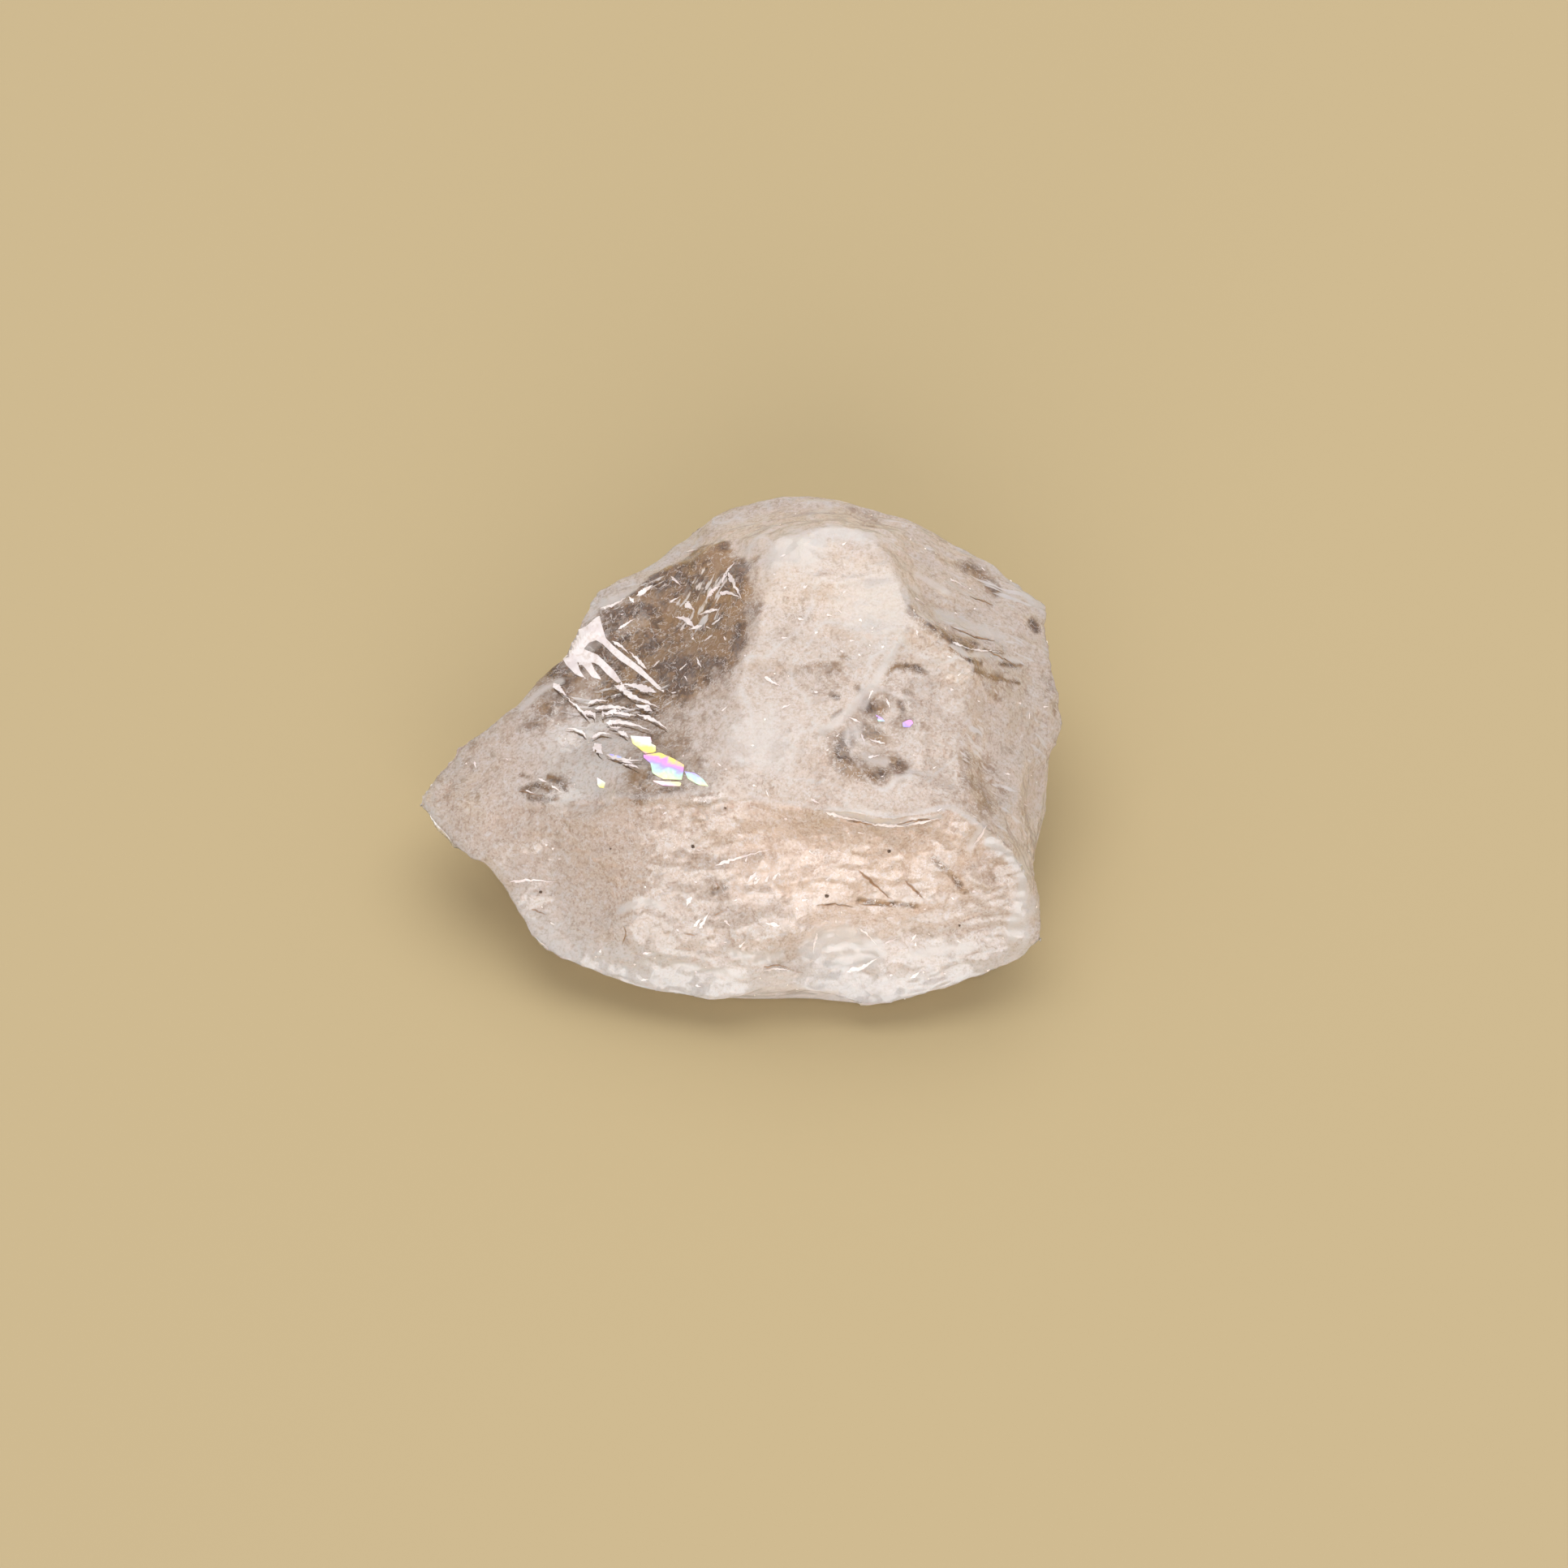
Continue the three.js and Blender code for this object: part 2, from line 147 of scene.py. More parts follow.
HOLLOW_STEPS = [
    # Partly painted highlights: where these steps catch the light they are drawn as white splinters
    (0.15, (832, 760), (845, 763), (856, 773)), (0.1, (849, 776), (857, 773), (866, 771)),
    (0.15, (844, 744), (850, 747), (856, 752)), (0.1, (861, 758), (873, 753), (886, 751)),
    (0.12, (872, 736), (878, 727), (888, 722)), (0.1, (887, 730), (900, 731), (912, 736)),
    (0.12, (740, 750), (757, 745), (771, 737)), (0.08, (775, 735), (781, 743)),
    (0.15, (785, 734), (795, 727), (804, 721)), (0.07, (762, 775), (773, 768), (783, 762)),
    (0.06, (827, 710), (840, 722)), (0.06, (845, 680), (860, 677)),
    (0.1, (905, 693), (894, 706), (890, 718)), (0.12, (898, 706), (906, 722), (914, 738)),
    (0.06, (877, 770), (890, 760)), (0.06, (826, 742), (836, 736)), (0.06, (868, 790), (878, 782)),
    (0.05, (805, 822), (813, 814)), (0.05, (838, 826), (846, 818)), (0.05, (858, 810), (864, 822)),
]
TOP_STEPS_AND_GLINTS = [
    # Most of the short ones are painted glints of light, drawn as small white splinters
    (0.09, (942, 834), (952, 841), (961, 845)), (0.05, (963, 872), (976, 868)),
    (0.07, (990, 725), (995, 721)), (0.06, (966, 725), (969, 723)), (0.06, (1004, 780), (1008, 779)),
    (0.07, (1059, 763), (1062, 766)), (0.07, (1086, 799), (1089, 796)), (0.06, (1003, 853), (1008, 853)),
    (0.07, (1171, 849), (1175, 850)), (0.06, (1176, 755), (1180, 757)), (0.05, (1000, 985), (1010, 990)),
    # The three from (1018, 1001) to (1160, 1008) are a painted highlight along the ridge's crisp edge
    (0.09, (1018, 1001), (1040, 1007), (1066, 1012)), (0.08, (1060, 1012), (1090, 1017), (1117, 1018)),
    (0.07, (1112, 1018), (1134, 1013), (1160, 1008)), (0.05, (648, 974), (658, 978)),
    (0.05, (664, 960), (674, 964)), (0.04, (680, 968), (692, 976)),
    (0.05, (1075, 850), (1070, 862)), (0.05, (1092, 860), (1096, 872)), (0.06, (1046, 884), (1060, 890)),
    (0.05, (1061, 905), (1066, 918)), (0.06, (1072, 912), (1090, 916)), (0.07, (1070, 934), (1084, 930)),
    (0.07, (1216, 1017), (1208, 1030), (1200, 1040)),
]
RIGHT_STEPS = [
    (0.07, (1127, 737), (1133, 740), (1139, 744)), (0.06, (1170, 713), (1180, 718), (1191, 725)),
    (0.09, (1174, 791), (1184, 796), (1198, 801)), (0.06, (1196, 801), (1216, 802), (1236, 804)),
]
FRONT_STEPS_AND_GLINTS = [
    # Most of these are painted glints: small bright splinters where the light glints on the front
    (0.1, (921, 1087), (932, 1075)), (0.08, (929, 1089), (937, 1082)), (0.07, (943, 1087), (948, 1078)),
    (0.08, (952, 1084), (961, 1074)), (0.12, (846, 1116), (852, 1105)), (0.09, (855, 1142), (864, 1132)),
    (0.09, (862, 1144), (873, 1125)), (0.06, (893, 1134), (900, 1141)),
    (0.1, (943, 1137), (961, 1141)),
    (0.05, (911, 1167), (918, 1160)), (0.06, (1123, 1159), (1129, 1151)),
    (0.07, (1123, 1205), (1134, 1196)),
    (0.05, (857, 1214), (864, 1216)), (0.08, (882, 1066), (911, 1057), (950, 1046)),
    (0.06, (1198, 1098), (1202, 1099)),
    (0.06, (1007, 1149), (1004, 1160), (1002, 1174)), (0.05, (1058, 1143), (1070, 1152), (1080, 1164)),
    (0.12, (1043, 1197), (1066, 1191), (1083, 1179)), (0.06, (629, 1087), (654, 1084), (686, 1087)),
    (0.06, (620, 1095), (624, 1097)), (0.05, (940, 1196), (958, 1193), (975, 1196)),
    (0.05, (790, 1208), (800, 1206)), (0.06, (792, 1175), (802, 1174)),
    (0.05, (1090, 1163), (1108, 1155)),
]
CRACKS_AND_RIDGE_SHADOW = [
    # The first two are a painted shadow line under the ridge's bright edge; the rest are dusty cracks
    (0.05, (1046, 1011), (1075, 1016), (1100, 1018)), (0.04, (1096, 1018), (1129, 1010), (1157, 1010)),
    (0.07, (1057, 1071), (1079, 1092), (1100, 1110)), (0.08, (1114, 1084), (1126, 1096), (1139, 1108)),
    (0.04, (1007, 1116), (1029, 1114), (1050, 1118)), (0.04, (1061, 1114), (1086, 1116)),
    (0.03, (843, 1150), (857, 1153)), (0.03, (768, 1140), (772, 1150), (766, 1165)),
    (0.04, (1212, 800), (1238, 812), (1252, 822)), (0.05, (1172, 772), (1200, 785), (1226, 790)),
    (0.04, (1195, 735), (1224, 745)), (0.03, (940, 1192), (960, 1189), (990, 1200)),
    (0.03, (880, 1128), (892, 1122)), (0.03, (655, 1120), (675, 1128)), (0.03, (640, 975), (668, 981)),
]
FILM_SHEETS = [
    [(777, 907), (804, 909), (802, 917), (808, 919), (808, 927), (795, 929), (786, 921), (780, 917)],
    [(790, 931), (813, 928), (830, 935), (843, 943), (842, 952), (840, 961), (817, 960), (804, 953),
     (802, 941), (797, 937)],
    [(802, 962), (820, 963), (840, 964), (838, 969), (817, 968)],
    [(844, 951), (857, 953), (867, 961), (873, 969), (860, 967), (848, 960)],
    [(736, 958), (746, 964), (743, 974), (737, 968)],
    [(1079, 881), (1087, 885), (1090, 889), (1082, 889)],
    [(1112, 891), (1120, 887), (1127, 889), (1121, 896), (1113, 896)],
    [(748, 929), (760, 931), (772, 935), (760, 934)],
]

# Broad steps are painted on the stone: pale ones, and ones that the eye looks into, which are painted
# with the brown shade seen through the clear stone
BROAD_STEPS = [
    (0.7, (1020, 1160), (1045, 1170), (1068, 1174)), (0.3, (1046, 1192), (1066, 1186), (1080, 1172)),
    (0.14, (1136, 751), (1144, 757), (1153, 763)), (0.24, (1160, 752), (1180, 760), (1198, 767)),
    (0.3, (1190, 764), (1214, 773), (1237, 783)), (0.12, (1176, 792), (1198, 801), (1236, 804)),
    (0.14, (1228, 803), (1244, 807), (1260, 812)), (0.14, (1134, 705), (1152, 714), (1170, 726)),
    (0.1, (1170, 713), (1191, 725), (1204, 734)), (0.26, (1190, 668), (1245, 698), (1304, 764)),
    (0.3, (1270, 1055), (1262, 1095), (1254, 1130)), (0.3, (1252, 1130), (1246, 1158)),
    # The three along the ridge, from (1018, 1001) to (1160, 1009), are a painted highlight on its crisp
    # edge
    (0.2, (1018, 1001), (1040, 1008), (1064, 1013)), (0.18, (1060, 1013), (1090, 1018), (1115, 1019)),
    (0.16, (1110, 1019), (1130, 1014), (1160, 1009)), (0.16, (1196, 1048), (1208, 1028), (1218, 1012)),
    (0.14, (738, 742), (760, 734), (782, 722)), (0.16, (640, 868), (672, 846), (690, 838)),
    (0.24, (1106, 795), (1074, 844), (1046, 877), (1012, 897)),
    (0.2, (1066, 926), (1078, 934), (1092, 934)),
    (0.2, (762, 1120), (790, 1112), (815, 1118)), (0.25, (905, 1178), (935, 1186), (965, 1180)),
    (0.2, (1120, 1180), (1160, 1172), (1200, 1168)), (0.2, (830, 1190), (870, 1198), (905, 1205)),
]
GLASS_AND_SHADE_STEPS = [
    (0.32, (1050, 901), (1066, 898), (1086, 906)), (0.46, (1043, 910), (1036, 926), (1044, 942)),
    (0.32, (1046, 949), (1066, 953), (1086, 951)), (0.26, (1102, 934), (1112, 941), (1112, 951)),
    (0.14, (1108, 864), (1111, 873)), (0.36, (1068, 866), (1076, 872), (1085, 872)),
    (0.16, (1056, 844), (1062, 851)), (0.14, (1023, 852), (1031, 856)), (0.14, (1027, 883), (1037, 876)),
    (0.14, (1093, 827), (1108, 819), (1130, 820), (1143, 830)), (0.1, (1036, 806), (1044, 810)),
    (0.26, (1124, 750), (1148, 770), (1180, 785), (1200, 791)),
    (0.14, (1173, 796), (1192, 806), (1212, 814)),
    (0.07, (1217, 780), (1237, 785)), (0.07, (1217, 797), (1240, 801)), (0.11, (1240, 814), (1263, 817)),
    (0.14, (1208, 824), (1222, 830), (1238, 834)), (0.07, (1243, 836), (1259, 840)),
    (0.24, (1196, 693), (1212, 704), (1230, 722)), (0.14, (1274, 762), (1282, 774)),
    (0.16, (643, 972), (660, 966), (676, 972)), (0.12, (676, 957), (688, 962), (697, 972)),
    (0.1, (652, 983), (668, 986), (684, 982)), (0.1, (640, 952), (652, 956)),
    (0.16, (880, 1098), (892, 1094)), (0.12, (1060, 1114), (1090, 1117), (1130, 1120)),
    (0.14, (1150, 1060), (1172, 1078), (1190, 1100)),
]

SPECTRUM = [  # up the film: how far round its cycle, and the colour there
    (0.0, "#fbd9e8"), (0.12, "#f8efb4"), (0.27, "#c2f3cf"), (0.36, "#b9a8f6"), (0.47, "#f09be6"),
    (0.56, "#fbe27a"), (0.66, "#fbf28c"), (0.78, "#effdfb"), (0.9, "#f7c4e2")]
FILM_SLANT = 0.25  # how far the bands of colour lean
FILM_FOOT = 0.86  # where the cycle starts and how long it is, in millimetres
FILM_CYCLE = 1.15
FILM_BEND = 0.35  # how far the colours wander, in millimetres
SPECKS = [  # x, z
    (-1.13, 3.75), (-0.4, 4.6), (-3.0, 3.4), (3.3, 4.2), (1.9, 3.2), (-4.6, 2.0), (4.9, 2.3)]
SPECK_RADII = (0.03, 0.06)
IN_FRONT = -20  # a place in y that is well in front of the stone

NOISE_SEED = 21  # noise_vector differs from run to run without one
BATCH = 50  # flakes that are made together, because large meshes are slow to add to
CLEAR_ENOUGH = 0.6  # a point that is clearer than this is looked through
FLECKS_LEFT_OUT = 0.93  # the share of cloudy places that get no fleck
FLAKE_THICKNESS = 0.015  # in millimetres

# Splinters and sheets, in millimetres
SPLINTER_PROUD = 0.012  # how far the top stands out of the stone
SPLINTER_DEPTH = 0.05  # how far it reaches down from there
ROW_WIDTH = 0.12  # a wider splinter is bent to the stone in rows of this width
# the width of the painted shadow under each ripple step
PAINTED_SHADOW_WIDTH = 0.05
GLINT_WIDTHS = (0.02, 0.06)
SHEET_WAVE = 0.012  # how uneven a sheet is

# The same in the picture, in pixels
PAINTED_SHADOW_BELOW = 1.5  # a painted shadow lies this far under its step's lower edge
GLINT_LEFT_RIGHT = (560, 1290)  # the glints lie within these places
GLINT_TOP_BOTTOM = (660, 1220)
GLINT_LENGTHS = (2, 8)
SHEET_CELL = 3  # how wide a sheet's faces are
PAINT_REACH = 60  # a step further off than this doesn't cover a point
SHAKE = 0.2  # how unsteadily a route runs, as a share of its steps
LONGEST_SHAKEN = 3.0

FACING = 0.05  # a face must turn this much towards the view to be painted
SMOOTH_REACH = 0.45  # how far from the ridge the smoothing is held back, in millimetres
TIP_X = -6.3  # the smoothing is held back in the tip too, left of here

# The stage, in metres
FLOOR_HALF = 0.6
FLOOR_DROP = 0.02 * MM  # the floor lies just clear of the stone's flat face
LAMP_SIZE = 0.2
LAMP_TARGET = Vector((0, 0, 0.003))
OVERHEAD_LAMP = Vector((0.01, 0.05, 0.15))
FRONT_LAMP = Vector((0.0, -0.2, 0.06))
SENSOR_WIDTH = 36  # the camera's, in millimetres


def linear(hex_colour):
    """The linear red, green and blue of an sRGB hex colour."""
    channels = [int(hex_colour[i:i + 2], 16) / 255 for i in (1, 3, 5)]
    return tuple(c / 12.92 if c <= 0.04045 else ((c + 0.055) / 1.055) ** 2.4 for c in channels)


def smooth(value, low, high):
    """0 below low, 1 above high and a smooth step between them."""
    t = min(max((value - low) / (high - low), 0.0), 1.0)
    return t * t * (3 - 2 * t)


def across(line, along):
    """Where a line is at this distance along it, both in plan."""
    if along <= line[0][0]:
        return line[0][1]
    for (a, here), (b, there) in zip(line, line[1:]):
        if along <= b:
            return here + (there - here) * (along - a) / (b - a)
    return line[-1][1]


class StoneSettings(bpy.types.PropertyGroup):
    grain: FloatProperty(
        name="Grain", description="Spacing of the surface's points, in millimetres",
        default=0.076, min=0.03, max=0.5)
    scoops: FloatProperty(
        name="Scoops", description="Depth of the small scooped chips all over, in millimetres",
        default=0.1, min=0.0, max=0.5)
    hackle: FloatProperty(
        name="Hackle", description="Depth of the ledges on the front, in millimetres",
        default=0.042, min=0.0, max=0.3)
    ripple: FloatProperty(
        name="Ripple", description="Depth of the ripples and streaks in the hollow, in millimetres",
        default=0.05, min=0.0, max=0.2)
    sugar: FloatProperty(
        name="Sugar", description="Depth of the finest unevenness, in millimetres",
        default=0.03, min=0.0, max=0.2)
    flakes: IntProperty(
        name="Flakes", description="How many small flecks and flakes lie in the stone",
        default=150, min=0, max=6000)
    # Painted glints: tiny bright splinters that stand for glints of light
    glints: IntProperty(
        name="Glints", description="How many tiny bright steps are scattered over the stone",
        default=120, min=0, max=1000)
    milk: FloatVectorProperty(
        name="Milk", description="Colour of the cloudy breaks",
        subtype="COLOR", default=linear("#fcf4ee"), min=0.0, max=1.0)
    peach: FloatVectorProperty(
        name="Peach", description="Colour of the warm, less cloudy breaks",
        subtype="COLOR", default=linear("#e6cfba"), min=0.0, max=1.0)
    # Glass and Depth paint the shaded brown under the stone, seen through the clear break: painted shade
    # over the crystal's own tint
    glass: FloatVectorProperty(
        name="Glass", description="Colour of the clear break in the hollow",
        subtype="COLOR", default=linear("#a38156"), min=0.0, max=1.0)
    depth: FloatVectorProperty(
        name="Depth", description="Colour of the clear break where it is looked into deepest",
        subtype="COLOR", default=linear("#4c311a"), min=0.0, max=1.0)
    # Frost also paints highlights: the line along the ridge, the sheen on the top and the sparks that
    # stand for glints
    frost: FloatVectorProperty(
        name="Frost", description="Colour of the bruised edges and bright streaks",
        subtype="COLOR", default=linear("#fffaf7"), min=0.0, max=1.0)
    stain: FloatVectorProperty(
        name="Stain", description="Colour of the dust in the finest cracks",
        subtype="COLOR", default=linear("#a07a58"), min=0.0, max=1.0)


class StageSettings(bpy.types.PropertyGroup):
    floor: FloatVectorProperty(
        name="Floor", description="Colour of the plain floor",
        subtype="COLOR", default=linear("#ac9973"), min=0.0, max=1.0)
    lamp: FloatProperty(
        name="Lamp", description="Power of the large lamp overhead, in watts",
        default=0.21, min=0.0, unit="POWER")
    fill: FloatProperty(
        name="Fill", description="Power of the wide, low lamp in front, in watts",
        default=0.38, min=0.0, unit="POWER")
    sky: FloatProperty(
        name="Sky", description="Strength of the plain light from all round",
        default=0.78, min=0.0)
    elevation: FloatProperty(
        name="Elevation", description="How far above the table the camera looks from",
        subtype="ANGLE", default=VIEW_ELEVATION)
    distance: FloatProperty(
        name="Distance", description="From the camera to the point that it looks at",
        unit="LENGTH", default=VIEW_DISTANCE * MM)


class Break:
    """Which break p lies on, as shares from 0 to 1. The lines between them wander a little."""

    def __init__(self, p):
        q = p + noise.noise_vector(p / 0.9) * 0.4 + noise.noise_vector(p / 0.3) * 0.12
        self.front = smooth(across(RIDGE, p.x) - q.y, -0.1, 0.15)
        upper = smooth(p.z, 1.9, 2.6) * (1 - self.front)
        left = smooth(across(SPUR, q.y) - q.x, -0.25, 0.35)
        right = smooth(q.x - across(CREST, q.y), -0.15, 0.2)
        inside = smooth(across(LIP, q.x) - q.y, -0.1, 0.3)
        tip = smooth(-4.4 - q.x, 0.0, 1.2)
        self.hollow = upper * left * inside * (1 - tip)
        self.tip = upper * left * tip
        self.lip = upper * left * (1 - inside) * (1 - tip)
        self.right = upper * right
        self.top = upper * (1 - left) * (1 - right)


def add_node(tree, kind, inputs=None, **settings):
    """Adds one node with its settings. An input is set to a value or linked from an output, which
    is a node's first one where only the node is given."""
    node = tree.nodes.new(kind)
    for name, value in settings.items():
        setattr(node, name, value)
    for name, value in (inputs or {}).items():
        if isinstance(value, bpy.types.Node):
            value = value.outputs[0]
        if isinstance(value, bpy.types.NodeSocket):
            tree.links.new(value, node.inputs[name])
        else:
            node.inputs[name].default_value = value
    return node


def opaque(colour):
    return (*colour, 1.0)


def new_material(name):
    """A material with an empty node tree, and its output node."""
    material = bpy.data.materials.new(name)
    material.use_nodes = True
    material.node_tree.nodes.clear()
    return material, material.node_tree, material.node_tree.nodes.new("ShaderNodeOutputMaterial")


def finished(name, mesh, *materials):
    """The finished piece, which rides with the stone."""
    for material in materials:
        mesh.materials.append(material)
    piece = bpy.data.objects.new(name, mesh)
    bpy.context.scene.collection.objects.link(piece)
    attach(piece, BODY)
    return piece


MIX_FACTOR, MIX_A, MIX_B, MIX_COLOUR = 0, 6, 7, 2  # a colour Mix node's sockets


def coated(tree, colour, coats):
    """The colour under a stack of coats. Each shows where its pattern lies between low and high,
    at most as strongly as the last number says."""
    for pattern, low, high, coat, most in coats:
        amount = add_node(tree, "ShaderNodeMapRange", {
            "Value": pattern, "From Min": low, "From Max": high, "To Max": most})
        colour = add_node(tree, "ShaderNodeMix", {
            MIX_FACTOR: amount, MIX_A: colour, MIX_B: opaque(coat)}, data_type="RGBA").outputs[MIX_COLOUR]
    return colour


def plates(tree, place, size):
    """Flat broken plates, each leaning its own way: how high they stand."""
    cells = add_node(tree, "ShaderNodeTexVoronoi", {"Vector": place, "Scale": 1 / (size * MM)})
    off = add_node(tree, "ShaderNodeVectorMath", {
        0: place, 1: cells.outputs["Position"]}, operation="SUBTRACT")
    lean = add_node(tree, "ShaderNodeVectorMath", {
        0: cells.outputs["Color"], 1: (0.5, 0.5, 0.5)}, operation="SUBTRACT")
    height = add_node(tree, "ShaderNodeVectorMath", {0: off, 1: lean}, operation="DOT_PRODUCT")
    return height.outputs["Value"]


def beryl_noises(tree, place):
    """The crystal's unevenness, from broad clouds to grit. Real grit is finer than the eye can see
    from here, so it is drawn 0.06 mm wide to show at all."""
    return {name: add_node(tree, "ShaderNodeTexNoise", {
        "Vector": place, "Scale": 1 / (size * MM), "Detail": detail, "Roughness": rough})
        for name, size, detail, rough in (
            ("cloud", 2.6, 4.0, 0.62), ("veil", 0.75, 5.0, 0.72), ("mottle", 0.4, 3.0, 0.65),
            ("speckle", 0.14, 1.5, 0.7), ("grit", 0.06, 1.0, 0.6))}


def streaks(tree, share):
    """Where the bright streaks show, and how far they count. A streak shows where the strand noise
    rises above a level that falls as they crowd."""
    grain = add_node(tree, "ShaderNodeAttribute", attribute_name="grain").outputs["Vector"]
    strand = add_node(tree, "ShaderNodeTexNoise", {
        "Vector": grain, "Scale": 1.0, "Detail": 2.0, "Roughness": 0.55})
    level = add_node(tree, "ShaderNodeMath", {0: share, 1: -0.42, 2: 0.76}, operation="MULTIPLY_ADD")
    rise = add_node(tree, "ShaderNodeMath", {0: strand, 1: level}, operation="SUBTRACT")
    crowded = add_node(tree, "ShaderNodeMapRange", {"Value": share, "From Min": 0.02, "From Max": 0.2})
    return rise, crowded


def off_middle(tree, pattern):
    """How far a noise is from its middle: 0 along winding lines."""
    off = add_node(tree, "ShaderNodeMath", {0: pattern, 1: 0.5}, operation="SUBTRACT")
    return add_node(tree, "ShaderNodeMath", {0: off}, operation="ABSOLUTE")


def beryl_colour(tree, noises, share, settings):
    """The broken beryl's colour, and how clear it is, which is ragged at its edges as the painted
    steps are."""
    torn = add_node(tree, "ShaderNodeMath", {
        0: noises["mottle"], 1: 0.9, 2: -0.45}, operation="MULTIPLY_ADD")
    clear = add_node(tree, "ShaderNodeMath", {0: share["clear"], 1: torn}, operation="ADD")
    clear = add_node(tree, "ShaderNodeMapRange", {"Value": clear, "From Min": 0.15, "From Max": 0.7})
    paint = add_node(tree, "ShaderNodeMath", {0: share["paint"], 1: torn}, operation="ADD")
    gloom = add_node(tree, "ShaderNodeMath", {0: clear, 1: 0.15, 2: 0.3}, operation="MULTIPLY_ADD")
    # Painted glints, with real frosted specks: white flecks that stand for glints of light, strongest
    # where the break is cloudy
    flecks_and_glints = add_node(tree, "ShaderNodeMath", {0: clear, 1: -0.4, 2: 0.55}, operation="MULTIPLY_ADD")
    tan = add_node(tree, "ShaderNodeMath", {0: share["warm"], 1: 0.2, 2: 0.06}, operation="MULTIPLY_ADD")
    rise, crowded = streaks(tree, share["streak"])
    colour = coated(tree, opaque(settings.milk), [
        # Clouds, the warm breaks and the clear ones
        (noises["cloud"], 0.42, 0.64, settings.peach, 0.32),
        (share["warm"], 0.0, 1.0, settings.peach, 0.9),
        # Painted shade: the clear breaks take the brown of the shade seen through them, darker still in
        # the veils
        (clear, 0.0, 1.0, settings.glass, 1.0),
        (noises["veil"], 0.45, 0.56, settings.depth, clear),
        # Mottling, dusty seams and pits
        (noises["mottle"], 0.5, 0.64, settings.peach, tan),
        (noises["mottle"], 0.48, 0.32, settings.milk, 0.18),
        (off_middle(tree, noises["cloud"]), 0.005, 0.001, settings.stain, 0.3),
        (noises["speckle"], 0.54, 0.66, settings.stain, gloom),
        (noises["grit"], 0.54, 0.68, settings.stain, gloom),
        # Bright hairlines, and sparks that are partly painted glints
        (off_middle(tree, noises["mottle"]), 0.018, 0.004, settings.frost, 0.6),
        (noises["speckle"], 0.42, 0.3, settings.frost, flecks_and_glints),
        (noises["grit"], 0.44, 0.3, settings.frost, flecks_and_glints),
        # Creases, worn edges, bruises, streaks that are partly painted reflections on the ripples, and
        # painted steps
        (share["edge"], -0.04, -0.14, settings.stain, 0.22),
        (share["edge"], 0.04, 0.16, settings.frost, 0.4),
        (share["frost"], 0.0, 1.0, settings.frost, 0.9),
        (rise, 0.0, 0.07, settings.frost, crowded),
        (paint, 0.3, 0.75, settings.milk, 0.85),
    ])
    return colour, clear


def beryl_relief(tree, place, noises):
    """Plates along the crystal's bedding with ragged outlines, and the fine unevenness on them."""
    ragged = add_node(tree, "ShaderNodeTexNoise", {
        "Vector": place, "Scale": 1 / (0.3 * MM), "Detail": 1.0, "Roughness": 0.6}).outputs["Color"]
    shaken = add_node(tree, "ShaderNodeVectorMath", {
        0: ragged, 1: (0.22 * MM,) * 3, 2: place}, operation="MULTIPLY_ADD")
    bedded = add_node(tree, "ShaderNodeVectorMath", {0: shaken, 1: (0.9, 1.0, 1.2)}, operation="MULTIPLY")
    height = add_node(tree, "ShaderNodeMath", {
        0: plates(tree, bedded, 0.9), 1: 0.6, 2: plates(tree, bedded, 0.35)}, operation="MULTIPLY_ADD")
    height = add_node(tree, "ShaderNodeMath", {0: height, 1: 0.65}, operation="MULTIPLY")
    for pattern, depth in (("speckle", 0.03), ("grit", 0.01)):
        height = add_node(tree, "ShaderNodeMath", {
            0: noises[pattern], 1: depth * MM, 2: height}, operation="MULTIPLY_ADD")
    return add_node(tree, "ShaderNodeBump", {"Height": height, "Strength": 1.0, "Distance": 0.25})


def beryl_material(settings):
    """Morganite is pink beryl, a hard, glassy crystal, here as it broke. Its clear break is glossy,
    and its cloudy breaks are frosted, because hackles too fine to see scatter the light."""
    material, tree, out = new_material("broken_beryl")
    place = add_node(tree, "ShaderNodeTexCoord").outputs["Object"]
    share = {name: add_node(tree, "ShaderNodeAttribute", attribute_name=name).outputs["Fac"]
             for name in ("clear", "warm", "frost", "paint", "streak", "edge")}
    noises = beryl_noises(tree, place)
    colour, clear = beryl_colour(tree, noises, share, settings)
    roughness = add_node(tree, "ShaderNodeMapRange", {
        "Value": clear, "From Min": 0.0, "From Max": 1.0, "To Min": 0.17, "To Max": 0.06})
    surface = add_node(tree, "ShaderNodeBsdfPrincipled", {
        "Base Color": colour, "Roughness": roughness, "Normal": beryl_relief(tree, place, noises),
        "IOR": 1.58, "Transmission Weight": 0.65, "Subsurface Weight": 0.6,
        "Subsurface Radius": (1.0, 0.85, 0.75), "Subsurface Scale": 0.7 * MM})
    inside = add_node(tree, "ShaderNodeVolumeAbsorption", {
        "Color": opaque(linear("#f3d9cc")), "Density": 45.0})
    tree.links.new(surface.outputs[0], out.inputs["Surface"])
    tree.links.new(inside.outputs[0], out.inputs["Volume"])
    return material


def mottled_material(name, colour, coats, surface):
    """A material with mottled coats over its colour: each has its size in millimetres, its
    detail, where its noise lies between low and high, its colour and how strong it is."""
    material, tree, out = new_material(name)
    place = add_node(tree, "ShaderNodeTexCoord").outputs["Object"]
    laid = []
    for size, detail, *rest in coats:
        pattern = add_node(tree, "ShaderNodeTexNoise", {
            "Vector": place, "Scale": 1 / (size * MM), "Detail": detail})
        laid.append((pattern, *rest))
    shader = add_node(tree, "ShaderNodeBsdfPrincipled", {
        "Base Color": coated(tree, opaque(colour), laid), **surface})
    tree.links.new(shader.outputs[0], out.inputs["Surface"])
    return material


